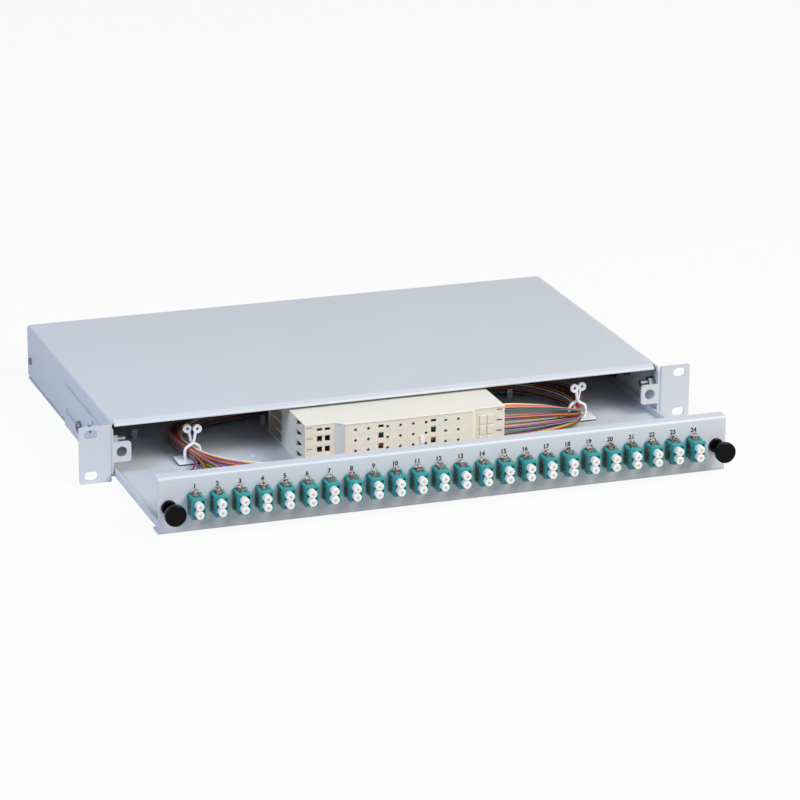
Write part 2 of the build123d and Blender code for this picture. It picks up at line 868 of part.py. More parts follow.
# Front panel: face, top flange and bottom flange from one sheet
cut_width = adapter_width + 2 * hole_gap
cut_height = adapter_height + 2 * (spring_sheet + hole_gap)
with BuildPart() as front_panel:
    with BuildSketch(side_plane(-half_panel)):
        with BuildLine():
            FilletPolyline(
                (panel_face + panel_top_flange, panel_top),
                (panel_face, panel_top),
                (panel_face, panel_bottom),
                (panel_face + panel_bottom_flange, panel_bottom),
                radius=panel_bend,
            )
            FilletPolyline(
                (panel_face + panel_bottom_flange, panel_bottom + panel_sheet),
                (panel_back, panel_bottom + panel_sheet),
                (panel_back, panel_top - panel_sheet),
                (panel_face + panel_top_flange, panel_top - panel_sheet),
                radius=panel_bend - panel_sheet,
            )
            Line(
                (panel_face + panel_top_flange, panel_top),
                (panel_face + panel_top_flange, panel_top - panel_sheet),
            )
            Line(
                (panel_face + panel_bottom_flange, panel_bottom),
                (panel_face + panel_bottom_flange, panel_bottom + panel_sheet),
            )
        make_face()
    extrude(amount=panel_width)
    with BuildSketch(back_plane(panel_face)):
        with Locations(*[(place, panel_mid) for place in adapter_places]):
            Rectangle(cut_width, cut_height)
        with Locations(*[(side * latch_x, 0) for side in (-1, 1)]):
            Circle(grommet_barrel / 2 + hole_gap)
    extrude(amount=-panel_sheet, mode=Mode.SUBTRACT)
    with Locations(*[(x, y, panel_bottom + panel_sheet) for x, y in rivet_places]):
        Hole(rivet_diameter / 2 + hole_gap, panel_sheet + hole_gap)
finish(front_panel.part, "front_panel", 0xC6CBD2)

# Rivets between the tray and the bottom flange of the panel
with BuildPart() as panel_rivets:
    with BuildSketch(Plane.XY.offset(panel_bottom)):
        with Locations(*rivet_places):
            Circle(rivet_diameter / 2)
    extrude(amount=panel_sheet + tray_sheet)
    with BuildSketch(Plane.XY.offset(floor_top)):
        with Locations(*rivet_places):
            Circle(rivet_head / 2)
    extrude(amount=rivet_head_height)
    fillet(panel_rivets.edges().group_by(Axis.Z)[-1], rivet_head_height / 2)
finish(panel_rivets.part, "panel_rivets", 0xA9ADB0)


def adapter_bank(places):
    """A row of duplex adapters: block, flange on the panel, and two ports at each end."""
    mouth_width = port_size + latch_channel + 2 * mouth_margin
    mouth_height = port_pitch + port_size + 2 * mouth_margin
    mouth_shift = latch_channel / 2 - port_shift
    with BuildPart() as bank:
        with BuildSketch(back_plane(adapter_nose)):
            with Locations(*[(place, panel_mid) for place in places]):
                Rectangle(adapter_width, adapter_height)
        extrude(amount=-(adapter_tail - adapter_nose))
        with BuildSketch(back_plane(panel_face)):
            with Locations(*[(place, panel_mid) for place in places]):
                Rectangle(adapter_width + 2 * adapter_flange_side, adapter_height)
        extrude(amount=adapter_flange)
        # The two front ports open into one shallow mouth
        with BuildSketch(back_plane(adapter_nose)):
            with Locations(*[(place + mouth_shift, panel_mid) for place in places]):
                Rectangle(mouth_width, mouth_height)
        extrude(amount=-mouth_depth, mode=Mode.SUBTRACT)
        for mouth, inwards in ((adapter_nose, -1), (adapter_tail, 1)):
            with BuildSketch(back_plane(mouth)):
                for place in places:
                    for height in port_heights:
                        with Locations((place - port_shift, height)):
                            Rectangle(port_size, port_size)
                        channel_x = place - port_shift + (port_size + latch_channel) / 2
                        with Locations((channel_x, height)):
                            Rectangle(latch_channel, latch_channel_height)
            extrude(amount=inwards * port_depth, mode=Mode.SUBTRACT)
        with BuildSketch(back_plane(adapter_nose)):
            with Locations(*[(x - port_shift, z) for x in places for z in port_heights]):
                Circle(sleeve_diameter / 2 + hole_gap / 2)
        extrude(amount=-(adapter_tail - adapter_nose), mode=Mode.SUBTRACT)
    return bank.part


finish(adapter_bank(adapter_places[:half_count]), "adapters_1_to_12", 0x1FA79B)
finish(adapter_bank(adapter_places[half_count:]), "adapters_13_to_24", 0x1FA79B)

port_places = [(x - port_shift, z) for x in adapter_places for z in port_heights]
web_front = adapter_nose + port_depth
web_back = adapter_tail - port_depth

with BuildPart() as alignment_sleeves:
    with BuildSketch(back_plane(web_front + sleeve_end_gap)):
        with Locations(*port_places):
            Circle(sleeve_diameter / 2)
            Circle(sleeve_bore / 2, mode=Mode.SUBTRACT)
    extrude(amount=-(web_back - web_front - 2 * sleeve_end_gap))
finish(alignment_sleeves.part, "alignment_sleeves", 0xF2F0EA)


def spring_clips(places):
    """Spring clips: a strip on each adapter's top and bottom, with a raised, bent tongue."""
    low = adapter_height / 2
    high = low + spring_sheet
    strip_front = panel_face - spring_forward
    strip_back = panel_back + spring_back
    strip_middle = (strip_front + strip_back) / 2
    foot = panel_face - spring_knee
    bend = foot - spring_bend
    root = foot - spring_tongue
    with BuildPart() as clips:
        for place in places:
            for side in (-1, 1):
                with BuildSketch(side_plane(place - spring_width / 2)):
                    with Locations((strip_middle, panel_mid + side * (low + high) / 2)):
                        Rectangle(strip_back - strip_front, spring_sheet)
                extrude(amount=spring_width)
                with BuildSketch(side_plane(place - spring_tongue_width / 2)):
                    with BuildLine():
                        Polyline(
                            (root, panel_mid + side * low),
                            (root, panel_mid + side * high),
                            (bend - spring_sheet, panel_mid + side * (high + spring_bend_top)),
                            (foot - spring_sheet, panel_mid + side * (high + spring_tongue_rise)),
                            (foot, panel_mid + side * (high + spring_tongue_rise)),
                            (bend, panel_mid + side * (high + spring_bend_rise)),
                            (root + spring_knee, panel_mid + side * high),
                            (root + spring_knee, panel_mid + side * low),
                            close=True,
                        )
                    make_face()
                extrude(amount=spring_tongue_width)
    return clips.part


finish(spring_clips(adapter_places[:half_count]), "spring_clips_1_to_12", 0xB9BCBE)
finish(spring_clips(adapter_places[half_count:]), "spring_clips_13_to_24", 0xB9BCBE)


def dust_caps(height):
    """Round dust caps in one row of front ports, seated on the floor of the mouths."""
    places = [(x - port_shift, height) for x in adapter_places]
    cap_face = adapter_nose - cap_head
    cap_seat = adapter_nose + mouth_depth
    with BuildPart() as caps:
        with BuildSketch(back_plane(cap_face)):
            with Locations(*places):
                Circle(cap_diameter / 2)
        extrude(amount=cap_face - cap_seat)
        fillet(caps.edges().group_by(Axis.Y)[0], cap_edge)
        with BuildSketch(back_plane(cap_seat)):
            with Locations(*places):
                Circle(cap_stem / 2)
        extrude(amount=-cap_stem_length)
        with BuildSketch(back_plane(cap_face)):
            with Locations(*places):
                Circle(cap_bore / 2)
        extrude(amount=-cap_bore_depth, mode=Mode.SUBTRACT)
    return caps.part


finish(dust_caps(port_heights[0]), "dust_caps_upper", 0xF4F1EC)
finish(dust_caps(port_heights[1]), "dust_caps_lower", 0xF4F1EC)


def pigtail_plugs(places):
    """Plug bodies with their latch arms, in the rear ports."""
    with BuildPart() as plugs:
        with BuildSketch(back_plane(adapter_tail - plug_inside)):
            with Locations(*places):
                Rectangle(plug_width, plug_width)
        extrude(amount=-(plug_inside + plug_outside))
        arm_x = (plug_width + latch_arm) / 2
        with BuildSketch(back_plane(adapter_tail - plug_inside / 2)):
            with Locations(*[(x + arm_x, z) for x, z in places]):
                Rectangle(latch_arm, latch_arm_width)
        extrude(amount=-(plug_inside / 2 + plug_outside))
    return plugs.part


def pigtail_boots(places):
    """Tapered boots behind the plugs."""
    with BuildPart() as boots:
        for place_x, place_z in places:
            with BuildSketch(back_plane(adapter_tail + plug_outside)):
                with Locations((place_x, place_z)):
                    Circle(boot_diameter / 2)
            with BuildSketch(back_plane(boot_tail)):
                with Locations((place_x, place_z)):
                    Circle(boot_end / 2)
            loft()
    return boots.part


half_ports = len(port_places) // 2
finish(pigtail_plugs(port_places[:half_ports]), "plugs_1_to_12", 0x2E6FB7)
finish(pigtail_plugs(port_places[half_ports:]), "plugs_13_to_24", 0x2E6FB7)
finish(pigtail_boots(port_places[:half_ports]), "boots_1_to_12", 0xEDEFF0)
finish(pigtail_boots(port_places[half_ports:]), "boots_13_to_24", 0xEDEFF0)


def grommet(side):
    """Latch grommet: domed flange on the panel, split barrel behind it."""
    with BuildPart() as latch_grommet:
        with BuildSketch(back_plane(panel_face)):
            with Locations((side * latch_x, 0)):
                Circle(grommet_flange / 2)
        extrude(amount=grommet_flange_height)
        fillet(latch_grommet.edges().group_by(Axis.Y)[0], grommet_flange_height / 2)
        with BuildSketch(back_plane(panel_face)):
            with Locations((side * latch_x, 0)):
                Circle(grommet_barrel / 2)
        extrude(amount=-(panel_sheet + grommet_length))
        # Slits that let the legs spread behind the tab
        with BuildSketch(back_plane(panel_back + grommet_flange_height)):
            with Locations((side * latch_x, 0)):
                Rectangle(grommet_slit, grommet_flange)
                Rectangle(grommet_flange, grommet_slit)
        extrude(amount=-grommet_length, mode=Mode.SUBTRACT)
        with BuildSketch(back_plane(panel_face - overrun)):
            with Locations((side * latch_x, 0)):
                Circle(plunger_stem / 2 + plunger_gap)
        extrude(amount=-(panel_sheet + grommet_length + 2 * overrun), mode=Mode.SUBTRACT)
    return latch_grommet.part


def plunger(side):
    """Latch plunger, pulled out: knob, neck and stem."""
    knob_front = panel_face - knob_face
    knob_back = knob_front + knob_height
    tip = panel_face + plunger_tip_inside
    with BuildPart() as latch_plunger:
        with BuildSketch(back_plane(knob_front)):
            with Locations((side * latch_x, 0)):
                Circle(knob_diameter / 2)
        extrude(amount=-knob_height)
        fillet(latch_plunger.edges().filter_by(GeomType.CIRCLE), knob_edge)
        with BuildSketch(back_plane(knob_back)):
            with Locations((side * latch_x, 0)):
                Circle(neck_diameter / 2)
        with BuildSketch(back_plane(knob_back + neck_length)):
            with Locations((side * latch_x, 0)):
                Circle(plunger_stem / 2)
        loft()
        with BuildSketch(back_plane(knob_back)):
            with Locations((side * latch_x, 0)):
                Circle(plunger_stem / 2)
        extrude(amount=-(tip - knob_back))
    return latch_plunger.part


finish(grommet(-1), "grommet_left", 0x16171A)
finish(grommet(1), "grommet_right", 0x16171A)
finish(plunger(-1), "plunger_left", 0x16171A)
finish(plunger(1), "plunger_right", 0x16171A)

# Splice cassettes
cassette_outline = (
    (cassette_left, cassette_rear),
    (cassette_left, cassette_front_left),
    (cassette_step_left, cassette_front_left),
    (cassette_step_right, cassette_front),
    (cassette_end_left, cassette_front),
    (cassette_end_right, cassette_front_right),
    (cassette_right, cassette_front_right),
    (cassette_right, cassette_rear),
)
cassette_middle = (cassette_left + cassette_right) / 2
flat_front_share = (-0.42, -0.32, -0.17, -0.07, 0.03, 0.13, 0.285, 0.385)
flat_front_width = 2 * cassette_end_left
peep_places = [share * flat_front_width for share in flat_front_share]
front_window_share = (-0.222, 0.188)
front_window_places = [share * flat_front_width for share in front_window_share]
side_front_width = cassette_step_left - cassette_left
side_window_share = (0.48, 0.74)
side_window_places = [cassette_left + share * side_front_width for share in side_window_share]
left_slit_share = 0.14
left_slit_place = cassette_left + left_slit_share * side_front_width
right_slit_share = 0.82
end_width = cassette_right - cassette_end_right
right_slit_place = cassette_end_right + right_slit_share * end_width
link_places = [link_first + number * link_pitch for number in range(links_per_seam)]
comb_back = cassette_middle
comb_row = (cassette_front + cassette_rear) / 2
comb_width = splices_per_cassette * splice_pitch + comb_rib
guide_places = [comb_back + side * (comb_width / 2 + guide_radius + guide_wall) for side in (-1, 1)]


def cassette(level):
    """One splice cassette: floor, walls with their openings, fibre guides and link seats."""
    low = floor_top + level * cassette_pitch
    inside = low + cassette_floor
    wall_rise = cassette_pitch - cassette_floor
    opening = top_window_height if level == cassette_count - 1 else window_height
    with BuildPart() as body:
        with BuildSketch(Plane.XY.offset(low)):
            with BuildLine():
                Polyline(*cassette_outline, close=True)
            make_face()
        extrude(amount=cassette_floor)
        with BuildSketch(Plane.XY.offset(inside)):
            with BuildLine():
                Polyline(*cassette_outline, close=True)
            make_face()
            offset(amount=-cassette_wall, kind=Kind.INTERSECTION, mode=Mode.SUBTRACT)
        extrude(amount=wall_rise)
        # Open stretches at the rear of both side walls
        with BuildSketch(Plane.XY.offset(inside)):
            for edge in (cassette_left, cassette_right):
                with Locations((edge, cassette_rear - fin_inset - fin_depth / 2)):
                    Rectangle(4 * cassette_wall, fin_depth)
        extrude(amount=wall_rise, mode=Mode.SUBTRACT)
        # Exit of the pigtails at the front of the right wall
        exit_middle = cassette_front_right + cassette_wall + exit_inset + exit_width / 2
        with BuildSketch(Plane.XY.offset(inside + exit_lift)):
            with Locations((cassette_right, exit_middle)):
                Rectangle(4 * cassette_wall, exit_width)
        extrude(amount=wall_rise - exit_lift, mode=Mode.SUBTRACT)
        # Three-cornered notch in the left wall
        notch_end = cassette_front_left + notch_back
        with BuildSketch(side_plane(cassette_left - cassette_wall)):
            with BuildLine():
                Polyline(
                    (notch_end, low + cassette_pitch),
                    (notch_end, low + cassette_pitch - notch_height),
                    (notch_end - notch_length, low + cassette_pitch),
                    close=True,
                )
            make_face()
        extrude(amount=3 * cassette_wall, mode=Mode.SUBTRACT)
        # Windows, peep holes and label slits of the front wall
        with BuildSketch(back_plane(cassette_front - overrun)):
            with Locations(*[(x, low + window_lift + opening / 2) for x in front_window_places]):
                Rectangle(window_width, opening)
            with Locations(*[(x, low + peep_lift) for x in peep_places]):
                Circle(peep_hole / 2)
        extrude(amount=-(overrun + 2 * cassette_wall), mode=Mode.SUBTRACT)
        with BuildSketch(back_plane(cassette_front_left - cassette_wall)):
            with Locations(*[(x, low + window_lift + opening / 2) for x in side_window_places]):
                Rectangle(window_width, opening)
            with Locations((left_slit_place, low + label_slit_lift)):
                Rectangle(label_slit_width, label_slit_height)
        extrude(amount=-3 * cassette_wall, mode=Mode.SUBTRACT)
        with BuildSketch(back_plane(cassette_front_right - cassette_wall)):
            with Locations((right_slit_place, low + label_slit_lift)):
                Rectangle(label_slit_width, label_slit_height)
        extrude(amount=-3 * cassette_wall, mode=Mode.SUBTRACT)
        # Round guides that the fibre turns about
        with BuildSketch(Plane.XY.offset(inside)):
            with Locations(*[(place, comb_row) for place in guide_places]):
                Circle(guide_radius)
                Circle(guide_radius - guide_wall, mode=Mode.SUBTRACT)
        extrude(amount=guide_height)
        # Seats of the hinge links, across the joint with the next cassette
        seams = [seam for seam in (level, level + 1) if 0 < seam < cassette_count]
        for seam in seams:
            seam_height = floor_top + seam * cassette_pitch
            with BuildSketch(back_plane(cassette_front_right - overrun)):
                with Locations(*[(place, seam_height) for place in link_places]):
                    Rectangle(link_width + 2 * hole_gap, link_height + 2 * hole_gap)
            extrude(amount=-(overrun + link_seat), mode=Mode.SUBTRACT)
        if level == 0:
            with Locations(*[(x, y, inside) for x, y in cassette_screw_places]):
                Hole(cassette_screw / 2 + hole_gap, cassette_floor + hole_gap)
    return body.part


for level in range(cassette_count):
    finish(cassette(level), f"cassette_{level + 1}", 0xE9DFCC)

with BuildPart() as cassette_lid_plate:
    with BuildSketch(Plane.XY.offset(stack_top)):
        with BuildLine():
            Polyline(*cassette_outline, close=True)
        make_face()
        offset(amount=lid_overhang, kind=Kind.INTERSECTION)
    extrude(amount=cassette_lid)
    fillet(cassette_lid_plate.edges().group_by(Axis.Z)[-1], lid_overhang)
finish(cassette_lid_plate.part, "cassette_lid", 0xE9DFCC)

# Hinge links between neighbouring cassettes
with BuildPart() as hinge_links:
    for seam in range(1, cassette_count):
        with BuildSketch(back_plane(cassette_front_right + link_seat - link_thickness)):
            with Locations(*[(place, floor_top + seam * cassette_pitch) for place in link_places]):
                Rectangle(link_width, link_height)
        extrude(amount=-link_thickness)
finish(hinge_links.part, "hinge_links", 0xEDE4D3)

# Splice combs and the splice sleeves that lie in them
splice_places = [
    comb_back + (number - (splices_per_cassette - 1) / 2) * splice_pitch
    for number in range(splices_per_cassette)
]
rib_places = [place - splice_pitch / 2 for place in splice_places] + [
    splice_places[-1] + splice_pitch / 2
]
rib_rows = [comb_row + side * (comb_length - comb_rib_length) / 2 for side in (-1, 1)]

with BuildPart() as splice_combs:
    for level in range(cassette_count):
        comb_floor = floor_top + level * cassette_pitch + cassette_floor
        with BuildSketch(Plane.XY.offset(comb_floor)):
            with Locations((comb_back, comb_row)):
                Rectangle(comb_width, comb_length)
        extrude(amount=comb_base)
        with BuildSketch(Plane.XY.offset(comb_floor + comb_base)):
            with Locations(*[(x, y) for x in rib_places for y in rib_rows]):
                Rectangle(comb_rib, comb_rib_length)
        extrude(amount=comb_rib_height - comb_base)
finish(splice_combs.part, "splice_combs", 0xD8CFBE)

with BuildPart() as splice_sleeves:
    for level in range(cassette_count):
        splice_rise = cassette_floor + comb_base + splice_gap + splice_diameter / 2
        splice_height = floor_top + level * cassette_pitch + splice_rise
        with BuildSketch(back_plane(comb_row - splice_length / 2)):
            with Locations(*[(place, splice_height) for place in splice_places]):
                Circle(splice_diameter / 2)
        extrude(amount=-splice_length)
finish(splice_sleeves.part, "splice_sleeves", 0xE6E9EA)

# Screws through the tray floor into the lowest cassette
with BuildPart() as cassette_screws:
    with BuildSketch(Plane.XY.offset(tray_bottom)):
        with Locations(*cassette_screw_places):
            Circle(cassette_screw / 2)
    extrude(amount=tray_sheet + cassette_floor)
    with BuildSketch(Plane.XY.offset(floor_top + cassette_floor)):
        with Locations(*cassette_screw_places):
            Circle(cassette_screw_head / 2)
    extrude(amount=cassette_screw_head_height)
finish(cassette_screws.part, "cassette_screws", 0xA9ADB0)


def clip_pad(place):
    """Foam pad under the base of a fibre clip."""
    with BuildPart() as pad:
        with BuildSketch(Plane.XY.offset(floor_top)):
            with Locations((place, clip_row)):
                RectangleRounded(clip_base_width, clip_base_depth, clip_base_corner)
        extrude(amount=clip_pad_thickness)
    return pad.part


def fibre_clip(place, front_side):
    """Fibre clip in one piece: base plate, two crossing legs and two finger rings."""
    rise = clip_floor
    with BuildPart() as clip:
        with BuildSketch(Plane.XY.offset(floor_top + clip_pad_thickness)):
            with Locations((place, clip_row)):
                RectangleRounded(clip_base_width, clip_base_depth, clip_base_corner)
        extrude(amount=clip_base_thickness)
        for side in (-1, 1):
            row = clip_row - side * front_side * clip_arm_shift
            ring_x = place - side * clip_ring_half
            with BuildLine(back_plane(row)) as leg:
                Spline(
                    (place + side * clip_foot, rise),
                    (place + side * clip_half_width, rise + clip_shoulder_rise),
                    (place + side * clip_upper_half, rise + clip_upper_rise),
                    (place, rise + clip_cross_rise),
                    (place - side * clip_neck_half, rise + clip_neck_rise),
                    (place - side * clip_throat_half, rise + clip_ring_rise - clip_ring / 3),
                )
            with BuildSketch(Plane(origin=leg.line @ 0, z_dir=leg.line % 0)):
                Circle(clip_cord / 2)
            sweep(path=leg.line)
            with BuildSketch(back_plane(row - clip_ring_thickness / 2)):
                with Locations((ring_x, rise + clip_ring_rise)):
                    Circle(clip_ring / 2)
            extrude(amount=-clip_ring_thickness)
            with BuildSketch(back_plane(row - clip_ring_thickness)):
                with Locations((ring_x, rise + clip_ring_rise)):
                    Circle(clip_ring_hole / 2)
            extrude(amount=-2 * clip_ring_thickness, mode=Mode.SUBTRACT)
    return clip.part


finish(clip_pad(clip_left), "clip_pad_left", 0x17181A)
finish(clip_pad(clip_right), "clip_pad_right", 0x17181A)
finish(fibre_clip(clip_left, -1), "fibre_clip_left", 0xF1F3F6)
finish(fibre_clip(clip_right, 1), "fibre_clip_right", 0xF1F3F6)


def pigtail_points(level, column, row):
    """The points of one pigtail, from its cassette round the drawer to its plug."""
    share = column / (fibre_columns - 1)
    exit_height = floor_top + level * cassette_pitch + fibre_exit_lift + row * fibre_exit_row
    run_height = clip_floor + fibre_base_lift + (fibre_rows * level + row) * fibre_level_pitch
    number = column * cassette_count + level
    plug_x = adapter_places[number] - port_shift
    plug_z = port_heights[1 - row]
    points = []
    for outer_point, inner_point in zip(outer_route, inner_route):
        place_x = outer_point[0] + share * (inner_point[0] - outer_point[0])
        place_y = outer_point[1] + share * (inner_point[1] - outer_point[1])
        place_z = exit_height + outer_point[2] * (run_height - exit_height)
        points.append(Vector(place_x, place_y, place_z))
    # In front of the left clip a pigtail stays in the bundle until it nears its plug
    peel_row = fibre_peel_row
    for outer_point, inner_point in zip(outer_front_route, inner_front_route):
        place_x = outer_point[0] + share * (inner_point[0] - outer_point[0])
        place_y = outer_point[1] + share * (inner_point[1] - outer_point[1])
        if place_x < plug_x - fibre_peel_margin:
            points.append(Vector(place_x, place_y, run_height))
            peel_row = place_y if number >= fibre_direct_count else fibre_peel_row
    if number < len(fan_route):
        points.append(Vector(*fan_route[number], run_height))
    points.append(Vector(plug_x, peel_row, run_height))
    points.append(Vector(plug_x, fibre_peel_end, run_height))
    points.append(Vector(plug_x, fibre_rise_end, plug_z))
    points.append(Vector(plug_x, boot_tail, plug_z))
    return points


def bend_radii(points):
    """Radius of each corner of a route: as large as its two runs allow."""
    radii = []
    for before, corner, after in zip(points, points[1:], points[2:]):
        shorter = min((corner - before).length, (after - corner).length)
        turn = (corner - before).get_angle(after - corner)
        radii.append(bend_share * shorter / tan(radians(turn / 2)))
    return radii


# Pigtails, one node for each colour
tightest = []
for index, (colour, code) in enumerate(fibre_colours.items()):
    with BuildPart() as pigtails:
        for level in range(cassette_count):
            colour_place = (index - fibre_rows * (cassette_count - 1 - level)) % len(fibre_colours)
            column = colour_place // fibre_rows
            row = 1 - colour_place % fibre_rows
            route = pigtail_points(level, column, row)
            radii = bend_radii(route)
            tightest.append(min(radii))
            with BuildLine() as path:
                start_run = FilletPolyline(*route, radius=radii)
            with BuildSketch(Plane(origin=start_run @ 0, z_dir=start_run % 0)):
                Circle(fibre_diameter / 2)
            sweep(path=path.wires()[0])
    finish(pigtails.part, f"fibres_{colour}", code)
print("smallest bend radius of the pigtails", round(min(tightest), 1))
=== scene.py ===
"""Sliding fibre patch drawer: finishes, figures, coiled fibre, small trim, stage, camera."""

import math

import bmesh
import bpy
from bpy.props import FloatProperty, FloatVectorProperty, PointerProperty
from mathutils import Matrix, Quaternion, Vector


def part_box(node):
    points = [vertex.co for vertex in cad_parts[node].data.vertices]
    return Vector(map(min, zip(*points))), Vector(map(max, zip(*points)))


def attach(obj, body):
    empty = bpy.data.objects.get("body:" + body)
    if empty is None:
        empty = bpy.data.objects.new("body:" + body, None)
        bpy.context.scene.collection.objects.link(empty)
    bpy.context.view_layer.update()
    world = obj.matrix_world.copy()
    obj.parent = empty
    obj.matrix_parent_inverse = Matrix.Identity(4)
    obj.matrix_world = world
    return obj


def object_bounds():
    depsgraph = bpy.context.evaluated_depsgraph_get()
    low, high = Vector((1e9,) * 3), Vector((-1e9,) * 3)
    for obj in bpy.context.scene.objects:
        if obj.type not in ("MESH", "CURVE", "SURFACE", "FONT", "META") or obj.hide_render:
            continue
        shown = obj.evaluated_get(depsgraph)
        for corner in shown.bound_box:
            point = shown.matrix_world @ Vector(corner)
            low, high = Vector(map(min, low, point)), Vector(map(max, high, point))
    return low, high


bl_info = {
    "name": "Fibre patch drawer",
    "version": (1, 0, 0),
    "blender": (4, 5, 0),
    "location": "3D View > Sidebar > Patch drawer",
    "description": "Finishes and dresses a sliding fibre patch drawer",
    "category": "Object",
}

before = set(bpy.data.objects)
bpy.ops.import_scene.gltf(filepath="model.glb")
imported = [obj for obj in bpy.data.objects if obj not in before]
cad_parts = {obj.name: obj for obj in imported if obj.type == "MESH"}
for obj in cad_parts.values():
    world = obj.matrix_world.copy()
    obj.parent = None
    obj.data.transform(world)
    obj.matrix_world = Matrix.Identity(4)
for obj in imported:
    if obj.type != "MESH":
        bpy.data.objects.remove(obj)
CAD_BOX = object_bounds()

MM = 0.001
QUARTER = math.radians(90)
UPRIGHT = Matrix.Rotation(QUARTER, 4, "X")
WHITE = (1, 1, 1, 1)
SIDES = ("left", "right")
HALVES = ("1_to_12", "13_to_24")

# Places that follow the CAD model
PORTS_PER_HALF = 12
ADAPTER_PITCH = 16.55 * MM
PORT_SHIFT = 0.7 * MM
ADAPTER_WIDTH = 9.3 * MM
ADAPTER_FLANGE = 1.6 * MM
CASSETTES = 4
CASSETTE_FLOOR = 1.2 * MM
SLIT_LIFT = 6.6 * MM
RIGHT_SLIT = 72.19 * MM
LEFT_SLIT = -75.71 * MM
RIGHT_FRONT = -33.4 * MM
LEFT_FRONT = -30.4 * MM

# Beige discs in the middle of the dust caps, painted shade of the hollows in their bores: narrower
# at the front, and set part way into the caps
SHADE_DISC_RADIUS = 1.25 * MM
SHADE_DISC_FRONT_SHARE = 0.7
SHADE_DISC_HEIGHT = 0.3 * MM
SHADE_DISC_DEPTH = 0.05 * MM
SHADE_DISC_SIDES = 20

# Small tag: the middle of its back, and its four corners in shares of its width and height
TAG_PLACE = (10.1 * MM, -36.8 * MM, -2.1 * MM)
TAG_CORNERS = ((-0.5, 0.5), (0.5, 0.34), (0.3, -0.3), (-0.3, -0.5))

# Rounding of edges in shares of the sheet's thickness, and the steps round each edge
SLIP_ROUNDING = 1 / 5
CHEEK_ROUNDING = 1 / 3
TAG_ROUNDING = 1 / 4
EDGE_STEPS = 2

# Where the coiled fibre lies inside a cassette: left, right, front and rear of the outer loop
COIL_LIMITS = (-75.8 * MM, 72.8 * MM, -34.6 * MM, 54.0 * MM)
COIL_CORNER = 43.5 * MM
COIL_DEPTH = 13.0 * MM
COIL_RISE = 4.4 * MM
COIL_TURNS = 2
CORNER_STEPS = 10
TUBE_ROUNDNESS = 2

# The other loops start this many fibre widths inside the outermost ones
COIL_GAP = 2

# How the colours are mixed: the shift of their order from one cassette to the next, and the
# steps by which a colour and a turn move on among the heights that a loop can lie at
ORDER_SHIFT = 5
COLOUR_STEP = 5
TURN_STEP = 7
LOOP_HEIGHTS = 11

# Heights of the three outermost loops above the bottom of their cassette
FRONT_RISES = (5.2 * MM, 6.4 * MM, 2.0 * MM)

# Colours of the outermost loops, from the lowest cassette up
FRONT_COILS = (
    ("brown", "grey", "yellow"),
    ("brown", "orange", "red"),
    ("black", "aqua", "brown"),
    ("red", "orange", "brown"),
)

# Figures: how far their strokes are fattened, steps on their curves, and the welding distance
FIGURE_FATTENING = 0.04
FIGURE_STEPS = 6
WELD_DISTANCE = 0.002 * MM

# Soft boxes: name, place, aim, width, watts and colour
LAMPS = (
    ("key", (1.3, -1.65, 1.85), (0, -0.05, 0), 1.7, 78.0, 0xFFFCF6),
    ("left", (-1.6, -0.7, 1.3), (-0.1, -0.05, 0), 1.0, 29.0, 0xCADEFF),
)
WORLD_STRENGTH = 0.1
WORLD_COLOUR = (0.94, 0.97, 1.0, 1)
FLOOR_WHITE_SHARE = 0.93
FLOOR_SIZE = 12.0
CAMERA_AIM = Vector((5.5, 0, 17.45)) * MM
FRAME_WIDTH = 36
NEAREST_SEEN = 0.05

# Sockets of the colour mix: share, first colour, second colour, and the colour that comes out
MIX_SHARE = 0
MIX_FIRST = 6
MIX_SECOND = 7
MIX_RESULT = 2

FIBRE_HEX = {
    "pink": 0xE8806E,
    "aqua": 0x11877C,
    "orange": 0xE2822B,
    "brown": 0x6B3B25,
    "violet": 0x7D5AB4,
    "grey": 0x8C9096,
    "red": 0xC32438,
    "green": 0x11803F,
    "yellow": 0xE0C62F,
    "black": 0x17181B,
    "white": 0xEDEEF4,
    "blue": 0x2447A6,
}


def linear(code):
    """Linear red, green and blue of an sRGB hex colour."""
    channels = [(code >> shift & 255) / 255 for shift in (16, 8, 0)]
    return [c / 12.92 if c <= 0.04045 else ((c + 0.055) / 1.055) ** 2.4 for c in channels]


def colour_property(name, description, code):
    """A colour that a user can change, with an sRGB hex default."""
    return FloatVectorProperty(
        name=name, description=description, default=linear(code), subtype="COLOR", size=3,
        min=0, max=1,
    )


def length_property(name, description, metres):
    """A length that a user can change."""
    return FloatProperty(name=name, description=description, default=metres, unit="LENGTH", min=0)


